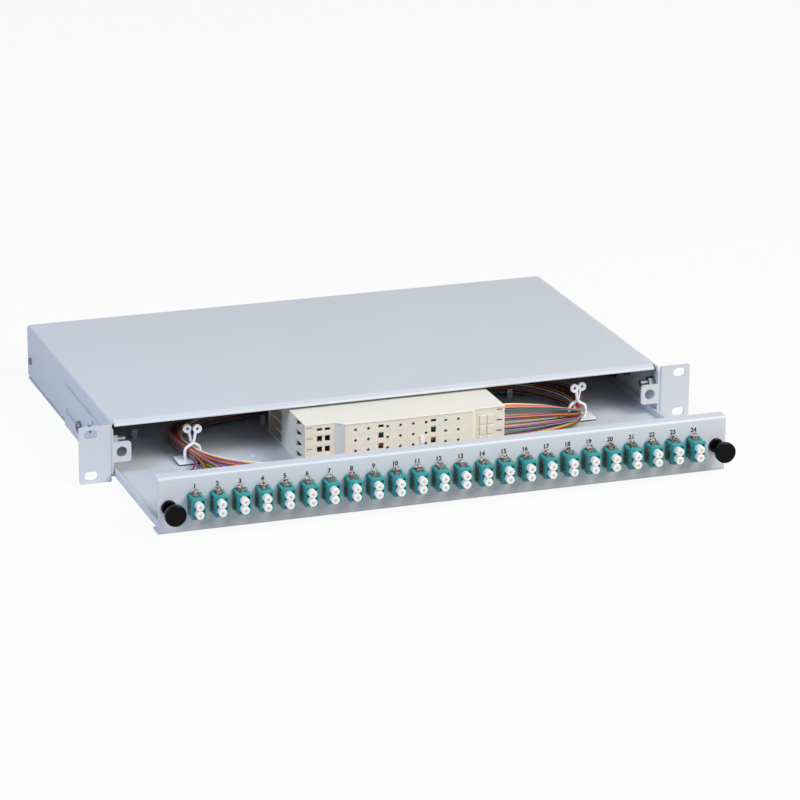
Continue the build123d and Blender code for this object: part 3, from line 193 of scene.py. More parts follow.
class DrawerColours(bpy.types.PropertyGroup):
    """Colours of the moulded, coated and printed surfaces."""

    coat: colour_property("Powder coat", "Light grey of the sheet metal", 0xCDD1D6)
    zinc: colour_property("Zinc plate", "Screws, nuts, pins and rivets", 0x6E757A)
    spring: colour_property("Spring steel", "Clips over the adapters", 0x6E6C69)
    latch: colour_property("Latch plastic", "Plungers and grommets", 0x060708)
    gland: colour_property("Gland plastic", "Cable gland and blanking plugs", 0x242629)
    rubber: colour_property("Gland rubber", "Seal of the cable gland", 0x1A1B1C)
    foam: colour_property("Foam", "Pads under the fibre clips", 0x141518)
    adapter: colour_property("Adapter plastic", "Duplex adapters", 0x109492)
    ceramic: colour_property("Ceramic", "Alignment sleeves", 0xF3F0E8)
    cap: colour_property("Cap plastic", "Dust caps", 0xEBEAE7)
    plug: colour_property("Plug plastic", "Pigtail plugs", 0x2A6FBC)
    clip: colour_property("Clip plastic", "Fibre clips and boots", 0xF1F4F8)
    cassette: colour_property("Cassette plastic", "Splice cassettes and their lid", 0xF7EDDC)
    sleeve: colour_property("Shrink sleeve", "Clear splice sleeves", 0xDDE2E6)
    figure: colour_property("Figures", "Port numbers on the front panel", 0x101216)
    # Painted shade: this beige stands for the shade inside the dust caps' bores
    core: colour_property("Cap core", "Middle of the dust caps", 0xCDB48E)
    slip_red: colour_property("Red slip", "Label slip of the upper cassette", 0xD9482B)
    slip_black: colour_property("Black slip", "Label slips of the other cassettes", 0x2A2422)
    # Painted light: the tan slips at the left end stand for the warm glow and shade on the inner
    # faces of the notches
    notch_glow: colour_property("Tan slip", "Label slips at the left end", 0xC7A98A)
    tag: colour_property("Tag", "Small tag in front of the cassettes", 0xFFFFFF)


class DrawerSizes(bpy.types.PropertyGroup):
    """Sizes of the dressed pieces."""

    figure_height: length_property("Figure height", "Height of the port numbers", 3.6 * MM)
    figure_rise: length_property("Figure rise", "Middle of the numbers above the slots", 14.0 * MM)
    figure_ink: length_property("Ink", "Thickness of the printed figures", 0.03 * MM)
    figure_shift: length_property("Figure shift", "Numbers stand right of the adapters", 0.4 * MM)
    cheek_length: length_property("Cheek length", "How far the spring cheeks reach", 5.4 * MM)
    cheek_height: length_property("Cheek height", "Height of the spring cheeks", 11.5 * MM)
    cheek_sheet: length_property("Cheek sheet", "Thickness of the spring cheeks", 0.3 * MM)
    coil_fibre: length_property("Coiled fibre", "Diameter of the fibre in the cassettes", 0.9 * MM)
    slip_width: length_property("Slip width", "Width of the label slips", 4.2 * MM)
    slip_depth: length_property("Slip depth", "Depth of the label slips", 1.6 * MM)
    slip_thickness: length_property("Slip thickness", "Thickness of the label slips", 0.7 * MM)
    slip_proud: length_property("Slip overhang", "How far the slips stand out", 0.25 * MM)
    tag_width: length_property("Tag width", "Width of the small tag", 4.3 * MM)
    tag_height: length_property("Tag height", "Height of the small tag", 6.6 * MM)
    tag_depth: length_property("Tag depth", "Thickness of the small tag", 0.8 * MM)


class DrawerStage(bpy.types.PropertyGroup):
    """Camera, floor and light."""

    azimuth: FloatProperty(
        name="Azimuth", description="Camera angle round the drawer",
        default=math.radians(-19.803), subtype="ANGLE",
    )
    elevation: FloatProperty(
        name="Elevation", description="Camera angle above the floor",
        default=math.radians(18.824), subtype="ANGLE",
    )
    roll: FloatProperty(
        name="Roll", description="Turn of the camera about its view",
        default=math.radians(0.548), subtype="ANGLE",
    )
    distance: length_property("Distance", "From the camera to its aim", 2.711545)
    lens: FloatProperty(
        name="Lens", description="Focal length for a 36 mm frame", default=163.673,
        min=10, unit="CAMERA",
    )
    floor: colour_property("Floor", "Plain pale floor", 0xD4D5D6)


def add_node(material, kind, inputs=None, **settings):
    """Add a shader node. A value in inputs is a number or colour, or an output that feeds it."""
    tree = material.node_tree
    node = tree.nodes.new(kind)
    for name, value in settings.items():
        setattr(node, name, value)
    for name, value in (inputs or {}).items():
        if isinstance(value, bpy.types.NodeSocket):
            tree.links.new(value, node.inputs[name])
        else:
            node.inputs[name].default_value = value
    return node


def start_material(name, **values):
    """A new material and its surface shader, with constant values on the shader's sockets."""
    material = bpy.data.materials.new(name)
    material.use_nodes = True
    shader = material.node_tree.nodes["Principled BSDF"]
    for socket, value in values.items():
        shader.inputs[socket.replace("_", " ")].default_value = value
    return material, shader


def grain_colour(material, shader, colour, patch, spread, edges=(0.3, 0.7)):
    """Colour that drifts a little lighter and darker over patches of one real size."""
    place = add_node(material, "ShaderNodeTexCoord")
    drift = add_node(
        material, "ShaderNodeTexNoise",
        {"Vector": place.outputs["Object"], "Scale": 1 / patch, "Detail": 2.0},
    )
    light = [min(1, channel * (1 + spread)) for channel in colour] + [1]
    dark = [channel * (1 - spread) for channel in colour] + [1]
    share = add_node(
        material, "ShaderNodeMapRange",
        {"Value": drift.outputs["Fac"], "From Min": edges[0], "From Max": edges[1]},
    )
    mixed = add_node(
        material, "ShaderNodeMix",
        {MIX_SHARE: share.outputs[0], MIX_FIRST: dark, MIX_SECOND: light}, data_type="RGBA",
    )
    material.node_tree.links.new(mixed.outputs[MIX_RESULT], shader.inputs["Base Color"])
    return place


def relief(material, shader, place, grain, depth, stretch=(1, 1, 1)):
    """Fine bumps of one real size, stretched along an axis where the surface was drawn out."""
    mapped = add_node(
        material, "ShaderNodeMapping", {"Vector": place.outputs["Object"], "Scale": stretch}
    )
    noise = add_node(
        material, "ShaderNodeTexNoise",
        {"Vector": mapped.outputs["Vector"], "Scale": 1 / grain, "Detail": 3.0},
    )
    bump = add_node(
        material, "ShaderNodeBump",
        {"Height": noise.outputs["Fac"], "Distance": depth, "Strength": 1.0},
    )
    material.node_tree.links.new(bump.outputs["Normal"], shader.inputs["Normal"])


def powder_coat(colour):
    """Polyester powder coat, sprayed on sheet steel and baked: satin, with a fine orange peel."""
    material, shader = start_material("powder_coat", Roughness=0.46, IOR=1.5)
    place = grain_colour(material, shader, colour, patch=60 * MM, spread=0.012)
    # The real peel is 0.5 to 1 mm across; it is drawn at 1.4 mm so that it shows
    relief(material, shader, place, grain=1.4 * MM, depth=0.012 * MM)
    return material


def zinc_plate(colour):
    """Zinc plated steel, cold headed: a dull grey metal shine, a little uneven."""
    material, shader = start_material("zinc_plate", Metallic=1.0, Roughness=0.5)
    place = grain_colour(material, shader, colour, patch=2 * MM, spread=0.08)
    relief(material, shader, place, grain=0.5 * MM, depth=0.01 * MM)
    return material


def spring_steel(colour):
    """Stainless spring strip, rolled, stamped and bent: grey, with painted reflections in small
    light and dark patches.
    """
    material, shader = start_material("spring_steel", Metallic=1.0, Roughness=0.62)
    # Painted reflections: light and dark patches about 1 mm wide stand in for the glints and dark
    # surroundings that the strip mirrors
    place = grain_colour(
        material, shader, colour, patch=1.1 * MM, spread=0.88, edges=(0.42, 0.58)
    )
    relief(material, shader, place, grain=0.7 * MM, depth=0.08 * MM, stretch=(1, 0.3, 1))
    return material


def glossy_nylon(colour):
    """Black nylon, moulded in a polished tool: deep black with sharp highlights."""
    material, shader = start_material(
        "glossy_nylon", Roughness=0.12, IOR=1.53, Specular_IOR_Level=0.09
    )
    place = grain_colour(material, shader, colour, patch=6 * MM, spread=0.15)
    relief(material, shader, place, grain=2.5 * MM, depth=0.01 * MM)
    return material


def textured_nylon(colour):
    """Black nylon, moulded in an eroded tool: matte, with a fine even grain."""
    material, shader = start_material("textured_nylon", Roughness=0.55, IOR=1.53)
    place = grain_colour(material, shader, colour, patch=5 * MM, spread=0.1)
    relief(material, shader, place, grain=0.35 * MM, depth=0.03 * MM)
    return material


def neoprene(colour):
    """Neoprene, pressed in a mould: dull black with a dusty bloom."""
    material, shader = start_material(
        "neoprene", Roughness=0.8, IOR=1.52, Sheen_Weight=0.15, Sheen_Roughness=0.5
    )
    place = grain_colour(material, shader, colour, patch=3 * MM, spread=0.2)
    relief(material, shader, place, grain=0.3 * MM, depth=0.02 * MM)
    return material


def cell_foam(colour):
    """Polyethylene foam with cut cells: black, and pitted all over."""
    material, shader = start_material("cell_foam", Roughness=0.9, IOR=1.5)
    place = grain_colour(material, shader, colour, patch=2 * MM, spread=0.3)
    cells = add_node(
        material, "ShaderNodeTexVoronoi",
        {"Vector": place.outputs["Object"], "Scale": 1 / (0.5 * MM)},
    )
    bump = add_node(
        material, "ShaderNodeBump",
        {"Height": cells.outputs["Distance"], "Distance": 0.2 * MM, "Strength": 1.0},
    )
    material.node_tree.links.new(bump.outputs["Normal"], shader.inputs["Normal"])
    return material


def adapter_plastic(colour):
    """Polyester moulding, coloured right through: satin, slightly cloudy aqua."""
    material, shader = start_material("adapter_plastic", Roughness=0.34, IOR=1.55)
    place = grain_colour(material, shader, colour, patch=4 * MM, spread=0.07)
    relief(material, shader, place, grain=0.6 * MM, depth=0.01 * MM)
    return material


def zirconia(colour):
    """Zirconia, sintered and ground: dense white with a hard gloss."""
    material, shader = start_material("zirconia", Roughness=0.12, IOR=2.1)
    place = grain_colour(material, shader, colour, patch=1 * MM, spread=0.02)
    relief(material, shader, place, grain=0.4 * MM, depth=0.002 * MM)
    return material


def cap_polyethylene(colour):
    """Soft polyethylene, moulded: milky white that lets some light into it."""
    material, shader = start_material(
        "cap_polyethylene", Roughness=0.38, IOR=1.51, Subsurface_Weight=0.25,
        Subsurface_Radius=(1.0, 0.95, 0.9), Subsurface_Scale=0.6 * MM,
    )
    place = grain_colour(material, shader, colour, patch=3 * MM, spread=0.015)
    relief(material, shader, place, grain=0.8 * MM, depth=0.01 * MM)
    return material


def plug_plastic(colour):
    """Polycarbonate, moulded: satin blue."""
    material, shader = start_material("plug_plastic", Roughness=0.3, IOR=1.58)
    place = grain_colour(material, shader, colour, patch=4 * MM, spread=0.05)
    relief(material, shader, place, grain=0.6 * MM, depth=0.01 * MM)
    return material


def clip_nylon(colour):
    """Natural nylon, moulded: cool white, a little waxy."""
    material, shader = start_material(
        "clip_nylon", Roughness=0.4, IOR=1.53, Subsurface_Weight=0.12,
        Subsurface_Radius=(1.0, 1.0, 1.0), Subsurface_Scale=0.5 * MM,
    )
    place = grain_colour(material, shader, colour, patch=6 * MM, spread=0.02)
    relief(material, shader, place, grain=1.2 * MM, depth=0.015 * MM)
    return material


def cassette_plastic(colour):
    """ABS, moulded in a finely eroded tool: warm cream with a soft, even sheen."""
    material, shader = start_material(
        "cassette_plastic", Roughness=0.42, IOR=1.54, Subsurface_Weight=0.3,
        Subsurface_Radius=(1.0, 0.5, 0.27), Subsurface_Scale=3.0 * MM,
    )
    place = grain_colour(material, shader, colour, patch=25 * MM, spread=0.015)
    # The tool's grain is about 0.1 mm; it is drawn at 0.8 mm so that it shows
    relief(material, shader, place, grain=0.8 * MM, depth=0.012 * MM)
    return material


def shrink_sleeve(colour):
    """Polyolefin shrink sleeve: clear, slightly milky, with soft waves where it shrank."""
    material, shader = start_material(
        "shrink_sleeve", Roughness=0.2, IOR=1.5, Transmission_Weight=0.6
    )
    place = grain_colour(material, shader, colour, patch=5 * MM, spread=0.03)
    relief(material, shader, place, grain=3 * MM, depth=0.05 * MM)
    return material


def fibre_jacket(name, colour):
    """Extruded jacket of one pigtail colour: smooth, with a soft line of light along it."""
    material, shader = start_material(f"fibre_jacket_{name}", Roughness=0.32, IOR=1.5)
    place = grain_colour(material, shader, colour, patch=12 * MM, spread=0.06)
    relief(material, shader, place, grain=4 * MM, depth=0.02 * MM)
    return material


def screen_ink(colour):
    """Screen printed ink: a dark matte film, a little thin in places."""
    material, shader = start_material("screen_ink", Roughness=0.5, IOR=1.48)
    grain_colour(material, shader, colour, patch=1 * MM, spread=0.2)
    return material


def card_slip(name, colour):
    """Dyed card, cut into a small slip: matte, with paper fibres."""
    material, shader = start_material(f"card_slip_{name}", Roughness=0.7, IOR=1.47)
    place = grain_colour(material, shader, colour, patch=1 * MM, spread=0.15)
    relief(material, shader, place, grain=0.4 * MM, depth=0.02 * MM)
    return material


def coat_nodes(material, names):
    """Give CAD nodes a better material in their own slots."""
    for name in names:
        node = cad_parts[name]
        if not node.data.materials:
            node.data.materials.append(material)
        for place in node.material_slots:
            place.link = "OBJECT"
            place.material = material


def mesh_of(name, shape):
    """A mesh with the faces of a built shape, which is then let go."""
    mesh = bpy.data.meshes.new(name)
    shape.to_mesh(mesh)
    shape.free()
    return mesh


def new_piece(name, mesh, material, body="drawer"):
    """Add a mesh to the scene as a piece that rides on a body."""
    piece = bpy.data.objects.new(name, mesh)
    bpy.context.scene.collection.objects.link(piece)
    piece.data.materials.clear()
    piece.data.materials.append(material)
    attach(piece, body)


class DressOperator:
    """What the operators of this drawer share."""

    bl_options = {"REGISTER", "UNDO"}

    def colours(self, context):
        return context.scene.drawer_colours

    def sizes(self, context):
        return context.scene.drawer_sizes


class PATCH_OT_sheet_metal(DressOperator, bpy.types.Operator):
    """Powder coat the housing, the ears, the tray and the front panel"""

    bl_idname = "patch_drawer.sheet_metal"
    bl_label = "Sheet metal"

    def execute(self, context):
        coat = powder_coat(self.colours(context).coat)
        coat_nodes(coat, ["housing_cover", "housing_base", "drawer_tray", "front_panel"])
        coat_nodes(coat, [f"ear_bracket_{side}" for side in SIDES])
        return {"FINISHED"}


class PATCH_OT_fasteners(DressOperator, bpy.types.Operator):
    """Plate the screws, nuts, washers, pins and rivets"""

    bl_idname = "patch_drawer.fasteners"
    bl_label = "Fasteners"

    def execute(self, context):
        plate = zinc_plate(self.colours(context).zinc)
        coat_nodes(plate, [
            "base_screws", "side_screws", "ear_screws", "ear_washers", "ear_nuts",
            "stop_pins", "panel_rivets", "cassette_screws",
        ])
        return {"FINISHED"}


class PATCH_OT_cable_gland(DressOperator, bpy.types.Operator):
    """Finish the cable gland and the blanking plugs of the rear wall"""

    bl_idname = "patch_drawer.cable_gland"
    bl_label = "Cable gland"

    def execute(self, context):
        colours = self.colours(context)
        coat_nodes(textured_nylon(colours.gland), [
            "gland_body", "gland_nut", "gland_cap", "blanking_plugs",
        ])
        coat_nodes(neoprene(colours.rubber), ["gland_seal"])
        return {"FINISHED"}


def adapter_middles(half):
    """Places along X of the middles of twelve adapters."""
    low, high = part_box(f"adapters_{half}")
    first = (low.x + high.x - (PORTS_PER_HALF - 1) * ADAPTER_PITCH) / 2
    return [first + step * ADAPTER_PITCH for step in range(PORTS_PER_HALF)]


def slip_mesh(name, places, size, edge):
    """Small flat slips with rounded edges, one at each place."""
    whole = bmesh.new()
    for place in places:
        made = bmesh.ops.create_cube(whole, size=1)["verts"]
        sized = Matrix.Translation(place) @ Matrix.Diagonal((*size, 1))
        bmesh.ops.transform(whole, matrix=sized, verts=made)
    bmesh.ops.bevel(whole, geom=whole.edges[:], offset=edge, segments=EDGE_STEPS, affect="EDGES")
    return mesh_of(name, whole)


def shade_disc_mesh(name, row):
    """Small beige discs in the middle of one row of dust caps, painted shade of their bores,
    narrower at the front.
    """
    low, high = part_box(f"dust_caps_{row}")
    whole = bmesh.new()
    for half in HALVES:
        for middle in adapter_middles(half):
            disc = bmesh.ops.create_cone(
                whole, segments=SHADE_DISC_SIDES, radius1=SHADE_DISC_RADIUS,
                radius2=SHADE_DISC_RADIUS * SHADE_DISC_FRONT_SHARE, depth=SHADE_DISC_HEIGHT, cap_ends=True,
            )
            place = Vector((middle - PORT_SHIFT, low.y + SHADE_DISC_DEPTH, (low.z + high.z) / 2))
            stood = Matrix.Translation(place) @ UPRIGHT
            bmesh.ops.transform(whole, matrix=stood, verts=disc["verts"])
    return mesh_of(name, whole)


def cheek_mesh(sizes):
    """Side plates of the spring clips, flat against both sides of each adapter."""
    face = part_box("front_panel")[0].y - ADAPTER_FLANGE
    places = []
    for half in HALVES:
        low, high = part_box(f"adapters_{half}")
        for middle in adapter_middles(half):
            for side in (-1, 1):
                x = middle + side * (ADAPTER_WIDTH + sizes.cheek_sheet) / 2
                places.append(Vector((x, face - sizes.cheek_length / 2, (low.z + high.z) / 2)))
    size = (sizes.cheek_sheet, sizes.cheek_length, sizes.cheek_height)
    return slip_mesh("spring_cheeks", places, size, sizes.cheek_sheet * CHEEK_ROUNDING)


class PATCH_OT_adapters(DressOperator, bpy.types.Operator):
    """Finish the adapters with their spring clips, ceramic sleeves and dust caps, with beige discs
    that paint the shade in the caps' bores
    """

    bl_idname = "patch_drawer.adapters"
    bl_label = "Adapters"

    def execute(self, context):
        colours = self.colours(context)
        coat_nodes(adapter_plastic(colours.adapter), [f"adapters_{half}" for half in HALVES])
        steel = spring_steel(colours.spring)
        coat_nodes(steel, [f"spring_clips_{half}" for half in HALVES])
        new_piece("spring_cheeks", cheek_mesh(self.sizes(context)), steel)
        coat_nodes(zirconia(colours.ceramic), ["alignment_sleeves"])
        coat_nodes(cap_polyethylene(colours.cap), ["dust_caps_upper", "dust_caps_lower"])
        # Beige discs in the middle of the caps are painted shade of their hollow bores
        core = cap_polyethylene(colours.core)
        for row in ("upper", "lower"):
            new_piece(f"cap_shade_discs_{row}", shade_disc_mesh(f"cap_shade_discs_{row}", row), core)
        return {"FINISHED"}


class PATCH_OT_latches(DressOperator, bpy.types.Operator):
    """Finish the two grommets and their plungers"""

    bl_idname = "patch_drawer.latches"
    bl_label = "Latches"

    def execute(self, context):
        nylon = glossy_nylon(self.colours(context).latch)
        coat_nodes(nylon, [f"{piece}_{side}" for piece in ("grommet", "plunger") for side in SIDES])
        return {"FINISHED"}


class PATCH_OT_cassettes(DressOperator, bpy.types.Operator):
    """Finish the splice cassettes, their lid, links, combs and splice sleeves"""

    bl_idname = "patch_drawer.cassettes"
    bl_label = "Cassettes"

    def execute(self, context):
        colours = self.colours(context)
        stack = sorted(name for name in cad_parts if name.startswith("cassette_"))
        stack.remove("cassette_screws")
        coat_nodes(cassette_plastic(colours.cassette), stack + ["hinge_links", "splice_combs"])
        coat_nodes(shrink_sleeve(colours.sleeve), ["splice_sleeves"])
        return {"FINISHED"}


def coil_path(inset, height):
    """A loop inside a cassette, one inset in from the outermost, with round corners."""
    left, right, front, rear = COIL_LIMITS
    corner = COIL_CORNER - inset
    middles = (
        (right - COIL_CORNER, front + COIL_CORNER),
        (right - COIL_CORNER, rear - COIL_CORNER),
        (left + COIL_CORNER, rear - COIL_CORNER),
        (left + COIL_CORNER, front + COIL_CORNER),
    )
    points = []
    # Quarter turns are counted from the right, so the first corner starts at minus one
    for quarter, (x, y) in enumerate(middles, start=-1):
        for step in range(CORNER_STEPS + 1):
            angle = QUARTER * (quarter + step / CORNER_STEPS)
            points.append((x + corner * math.cos(angle), y + corner * math.sin(angle), height))
    return points


def tube_mesh(name, loops, radius):
    """Closed round tubes along loops of points."""
    curve = bpy.data.curves.new(name, "CURVE")
    curve.dimensions = "3D"
    curve.bevel_depth = radius
    curve.bevel_resolution = TUBE_ROUNDNESS
    for points in loops:
        line = curve.splines.new("POLY")
        line.points.add(len(points) - 1)
        for place, point in zip(line.points, points):
            place.co = (*point, 1)
        line.use_cyclic_u = True
    holder = bpy.data.objects.new(name, curve)
    bpy.context.scene.collection.objects.link(holder)
    mesh = bpy.data.meshes.new_from_object(holder)
    bpy.data.objects.remove(holder)
    mesh.shade_smooth()
    return mesh


class PATCH_OT_coiled_fibre(DressOperator, bpy.types.Operator):
    """Lay the spare fibre of each colour in loops inside the cassettes"""

    bl_idname = "patch_drawer.coiled_fibre"
    bl_label = "Coiled fibre"

    def execute(self, context):
        width = self.sizes(context).coil_fibre
        names = list(FIBRE_HEX)
        for number, name in enumerate(names):
            loops = []
            for level, front in enumerate(FRONT_COILS):
                rank = len(front) + (number + ORDER_SHIFT * level) % len(names)
                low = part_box(f"cassette_{level + 1}")[0].z
                if name in front:
                    rank = front.index(name)
                    loops.append(coil_path(0, low + FRONT_RISES[rank]))
                inset = COIL_GAP * width + COIL_DEPTH * rank / (len(names) + len(front))
                for turn in range(COIL_TURNS):
                    height = (rank * COLOUR_STEP + turn * TURN_STEP) % LOOP_HEIGHTS
                    rise = width + COIL_RISE * height / (LOOP_HEIGHTS - 1)
                    loops.append(coil_path(inset, low + CASSETTE_FLOOR + rise))
            mesh = tube_mesh(f"coiled_{name}", loops, width / 2)
            jacket = bpy.data.materials[f"fibre_jacket_{name}"]
            new_piece(f"coiled_{name}", mesh, jacket)
        return {"FINISHED"}


def tag_mesh(sizes):
    """A small upright tag with rounded edges, narrower towards its foot."""
    x, y, z = TAG_PLACE
    outline = [
        (x + along * sizes.tag_width, z + up * sizes.tag_height) for along, up in TAG_CORNERS
    ]
    wedge = bmesh.new()
    front = [wedge.verts.new((px, y - sizes.tag_depth, pz)) for px, pz in outline]
    back = [wedge.verts.new((px, y, pz)) for px, pz in outline]
    wedge.faces.new(front)
    wedge.faces.new(back[::-1])
    for number in range(len(outline)):
        after = (number + 1) % len(outline)
        wedge.faces.new((front[number], back[number], back[after], front[after]))
    bmesh.ops.recalc_face_normals(wedge, faces=wedge.faces[:])
    bmesh.ops.bevel(
        wedge, geom=wedge.edges[:], offset=sizes.tag_depth * TAG_ROUNDING, segments=EDGE_STEPS,
        affect="EDGES",
    )
    return mesh_of("front_tag", wedge)


class PATCH_OT_labels(DressOperator, bpy.types.Operator):
    """Put the label slips in the slits at the right end of the cassettes, tan slips that paint the
    warm glow and shade inside the left notches, and the small tag in front
    """

    bl_idname = "patch_drawer.labels"
    bl_label = "Labels"

    def execute(self, context):
        colours = self.colours(context)
        sizes = self.sizes(context)
        lows = [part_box(f"cassette_{level + 1}")[0].z for level in range(CASSETTES)]
        slip = (sizes.slip_width, sizes.slip_depth, sizes.slip_thickness)
        edge = sizes.slip_thickness * SLIP_ROUNDING
        sets = (
            ("slips_red", colours.slip_red, RIGHT_SLIT, RIGHT_FRONT, lows[-1:]),
            ("slips_black", colours.slip_black, RIGHT_SLIT, RIGHT_FRONT, lows[:-1]),
            # Painted light: the tan set at the left end paints the glow and shade inside the
            # notches
            ("notch_glow_fills", colours.notch_glow, LEFT_SLIT, LEFT_FRONT, lows),
        )
        for name, colour, x, front, heights in sets:
            middle = front + sizes.slip_depth / 2 - sizes.slip_proud
            places = [Vector((x, middle, height + SLIT_LIFT)) for height in heights]
            mesh = slip_mesh(name, places, slip, edge)
            new_piece(name, mesh, card_slip(name, colour))
        new_piece("front_tag", tag_mesh(sizes), card_slip("tag", colours.tag))
        return {"FINISHED"}


class PATCH_OT_fibre_clips(DressOperator, bpy.types.Operator):
    """Finish the fibre clips and their foam pads"""

    bl_idname = "patch_drawer.fibre_clips"
    bl_label = "Fibre clips"

    def execute(self, context):
        colours = self.colours(context)
        coat_nodes(clip_nylon(colours.clip), [f"fibre_clip_{side}" for side in SIDES])
        coat_nodes(cell_foam(colours.foam), [f"clip_pad_{side}" for side in SIDES])
        return {"FINISHED"}


class PATCH_OT_pigtails(DressOperator, bpy.types.Operator):
    """Finish the pigtails in their twelve colours, with their plugs and boots"""

    bl_idname = "patch_drawer.pigtails"
    bl_label = "Pigtails"

    def execute(self, context):
        colours = self.colours(context)
        coat_nodes(plug_plastic(colours.plug), [f"plugs_{half}" for half in HALVES])
        coat_nodes(clip_nylon(colours.clip), [f"boots_{half}" for half in HALVES])
        for name, code in FIBRE_HEX.items():
            coat_nodes(fibre_jacket(name, linear(code)), [f"fibres_{name}"])
        return {"FINISHED"}


def figure_mesh(word, height, ink):
    """A printed figure as a thin upright solid that faces the front."""
    curve = bpy.data.curves.new("figure", "FONT")
    curve.body = word
    curve.align_x = "CENTER"
    curve.align_y = "CENTER"
    curve.offset = FIGURE_FATTENING
    curve.resolution_u = FIGURE_STEPS
    letter = bpy.data.objects.new("figure", curve)
    bpy.context.scene.collection.objects.link(letter)
    flat = bpy.data.meshes.new_from_object(letter)
    bpy.data.objects.remove(letter)
    heights = [vertex.co.y for vertex in flat.vertices]
    sides = [vertex.co.x for vertex in flat.vertices]
    scale = height / (max(heights) - min(heights))
    middle = Vector(((max(sides) + min(sides)) / 2, (max(heights) + min(heights)) / 2, 0))
    flat.transform(Matrix.Scale(scale, 4) @ Matrix.Translation(-middle))
    shape = bmesh.new()
    shape.from_mesh(flat)
    bmesh.ops.remove_doubles(shape, verts=shape.verts, dist=WELD_DISTANCE)
    grown = bmesh.ops.extrude_face_region(shape, geom=shape.faces[:])
    raised = [item for item in grown["geom"] if isinstance(item, bmesh.types.BMVert)]
    bmesh.ops.translate(shape, verts=raised, vec=(0, 0, ink))
    bmesh.ops.recalc_face_normals(shape, faces=shape.faces[:])
    shape.transform(UPRIGHT)
    return shape


class PATCH_OT_port_numbers(DressOperator, bpy.types.Operator):
    """Print the numbers 1 to 24 above the adapters"""

    bl_idname = "patch_drawer.port_numbers"
    bl_label = "Port numbers"

    def execute(self, context):
        sizes = self.sizes(context)
        ink = screen_ink(self.colours(context).figure)
        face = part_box("front_panel")[0].y
        for start, half in zip((1, 1 + PORTS_PER_HALF), HALVES):
            whole = bmesh.new()
            for step, middle in enumerate(adapter_middles(half)):
                figure = figure_mesh(str(start + step), sizes.figure_height, sizes.figure_ink)
                place = Vector((middle + sizes.figure_shift, face, sizes.figure_rise))
                figure.transform(Matrix.Translation(place))
                part = mesh_of("figure", figure)
                whole.from_mesh(part)
                bpy.data.meshes.remove(part)
            mesh = mesh_of(f"port_numbers_{half}", whole)
            new_piece(f"port_numbers_{half}", mesh, ink)
        return {"FINISHED"}


def seen_rays(material):
    """One where the camera, a shine or a clear piece sees the surface, else nought."""
    rays = add_node(material, "ShaderNodeLightPath")
    seen = add_node(
        material, "ShaderNodeMath",
        {0: rays.outputs["Is Camera Ray"], 1: rays.outputs["Is Glossy Ray"]}, operation="MAXIMUM",
    )
    through = add_node(
        material, "ShaderNodeMath",
        {0: seen.outputs[0], 1: rays.outputs["Is Transmission Ray"]}, operation="MAXIMUM",
    )
    return through.outputs[0]


def lay_floor(colour):
    """A wide floor under the lowest point; the camera sees it almost white."""
    shape = bmesh.new()
    bmesh.ops.create_grid(shape, x_segments=1, y_segments=1, size=FLOOR_SIZE / 2)
    mesh = mesh_of("floor", shape)
    floor = bpy.data.objects.new("floor", mesh)
    floor.location.z = CAD_BOX[0][2]
    bpy.context.scene.collection.objects.link(floor)
    material, shader = start_material(
        "floor_board", Base_Color=[*colour, 1], Roughness=0.9, Specular_IOR_Level=0.1
    )
    white = add_node(material, "ShaderNodeEmission", {"Color": WHITE, "Strength": 1.0})
    share = add_node(
        material, "ShaderNodeMath", {0: seen_rays(material), 1: FLOOR_WHITE_SHARE},
        operation="MULTIPLY",
    )
    mixed = add_node(
        material, "ShaderNodeMixShader",
        {0: share.outputs[0], 1: shader.outputs[0], 2: white.outputs[0]},
    )
    output = material.node_tree.nodes["Material Output"]
    material.node_tree.links.new(mixed.outputs[0], output.inputs["Surface"])
    mesh.materials.append(material)


def light_world():
    """Soft light from all round, and plain white where the camera or a shine sees it."""
    world = bpy.data.worlds.new("studio")
    bpy.context.scene.world = world
    world.use_nodes = True
    tree = world.node_tree
    around = tree.nodes["Background"]
    around.inputs["Color"].default_value = WORLD_COLOUR
    around.inputs["Strength"].default_value = WORLD_STRENGTH
    white = add_node(world, "ShaderNodeBackground", {"Color": WHITE, "Strength": 1.0})
    mixed = add_node(
        world, "ShaderNodeMixShader",
        {0: seen_rays(world), 1: around.outputs[0], 2: white.outputs[0]},
    )
    tree.links.new(mixed.outputs[0], tree.nodes["World Output"].inputs["Surface"])


def light_lamps():
    """Soft boxes above the front right and at the left."""
    for name, place, aim, size, watts, code in LAMPS:
        lamp = bpy.data.lights.new(name, "AREA")
        lamp.shape = "SQUARE"
        lamp.size = size
        lamp.energy = watts
        lamp.color = linear(code)
        box = bpy.data.objects.new(name, lamp)
        box.location = place
        box.rotation_euler = (Vector(aim) - Vector(place)).to_track_quat("-Z", "Y").to_euler()
        bpy.context.scene.collection.objects.link(box)


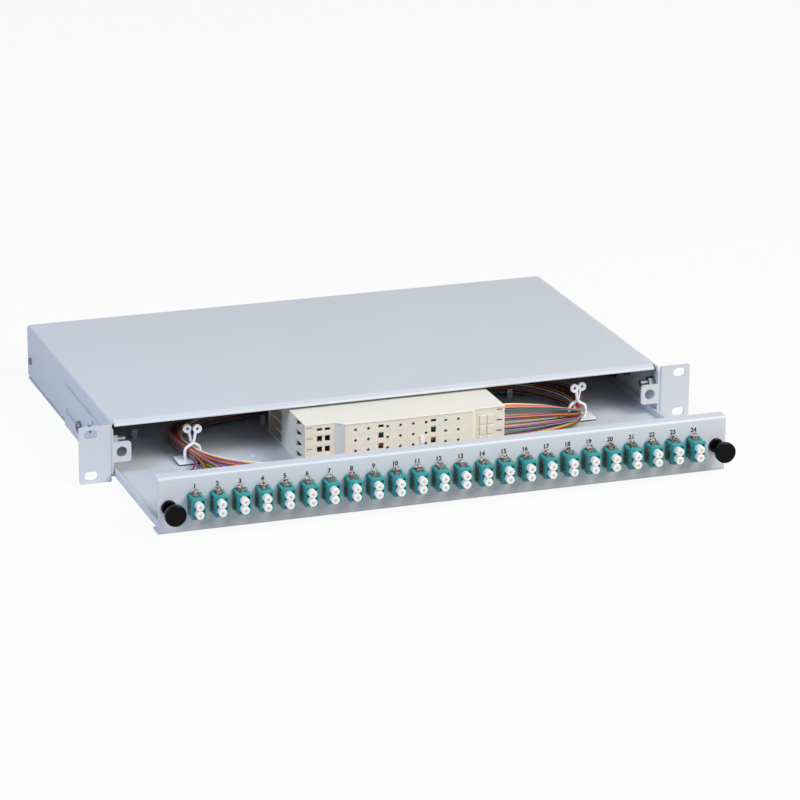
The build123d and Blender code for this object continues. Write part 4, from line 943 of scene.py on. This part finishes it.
def place_camera(stage):
    """The camera stands where the photograph was taken from."""
    back = Vector((
        math.sin(stage.azimuth) * math.cos(stage.elevation),
        -math.cos(stage.azimuth) * math.cos(stage.elevation),
        math.sin(stage.elevation),
    ))
    data = bpy.data.cameras.new("camera")
    data.sensor_width = FRAME_WIDTH
    data.lens = stage.lens
    data.clip_start = NEAREST_SEEN
    camera = bpy.data.objects.new("camera", data)
    camera.location = CAMERA_AIM + back * stage.distance
    turned = (-back).to_track_quat("-Z", "Y") @ Quaternion((0, 0, 1), stage.roll)
    camera.rotation_euler = turned.to_euler()
    bpy.context.scene.collection.objects.link(camera)
    bpy.context.scene.camera = camera


class PATCH_OT_stage(DressOperator, bpy.types.Operator):
    """Lay the floor and set the lights and the camera"""

    bl_idname = "patch_drawer.stage"
    bl_label = "Stage"

    def execute(self, context):
        scene = context.scene
        scene.view_settings.view_transform = "Standard"
        stage = scene.drawer_stage
        lay_floor(stage.floor)
        light_world()
        light_lamps()
        place_camera(stage)
        return {"FINISHED"}


PIECES = (
    PATCH_OT_sheet_metal,
    PATCH_OT_fasteners,
    PATCH_OT_cable_gland,
    PATCH_OT_adapters,
    PATCH_OT_latches,
    PATCH_OT_cassettes,
    PATCH_OT_fibre_clips,
    PATCH_OT_pigtails,
    PATCH_OT_coiled_fibre,
    PATCH_OT_labels,
    PATCH_OT_port_numbers,
    PATCH_OT_stage,
)


class PATCH_PT_panel(bpy.types.Panel):
    """Sidebar panel with one button for each group of pieces"""

    bl_label = "Patch drawer"
    bl_idname = "PATCH_PT_panel"
    bl_space_type = "VIEW_3D"
    bl_region_type = "UI"
    bl_category = "Patch drawer"

    def draw(self, context):
        for piece in PIECES:
            self.layout.operator(piece.bl_idname)


GROUPS = {
    "drawer_colours": DrawerColours,
    "drawer_sizes": DrawerSizes,
    "drawer_stage": DrawerStage,
}


def register():
    for group in GROUPS.values():
        bpy.utils.register_class(group)
    for name, group in GROUPS.items():
        setattr(bpy.types.Scene, name, PointerProperty(type=group))
    for piece in PIECES:
        bpy.utils.register_class(piece)
    bpy.utils.register_class(PATCH_PT_panel)


def unregister():
    bpy.utils.unregister_class(PATCH_PT_panel)
    for piece in reversed(PIECES):
        bpy.utils.unregister_class(piece)
    for name, group in GROUPS.items():
        delattr(bpy.types.Scene, name)
        bpy.utils.unregister_class(group)


def main():
    register()
    for piece in PIECES:
        family, name = piece.bl_idname.split(".")
        getattr(getattr(bpy.ops, family), name)()


if __name__ == "__main__":
    main()
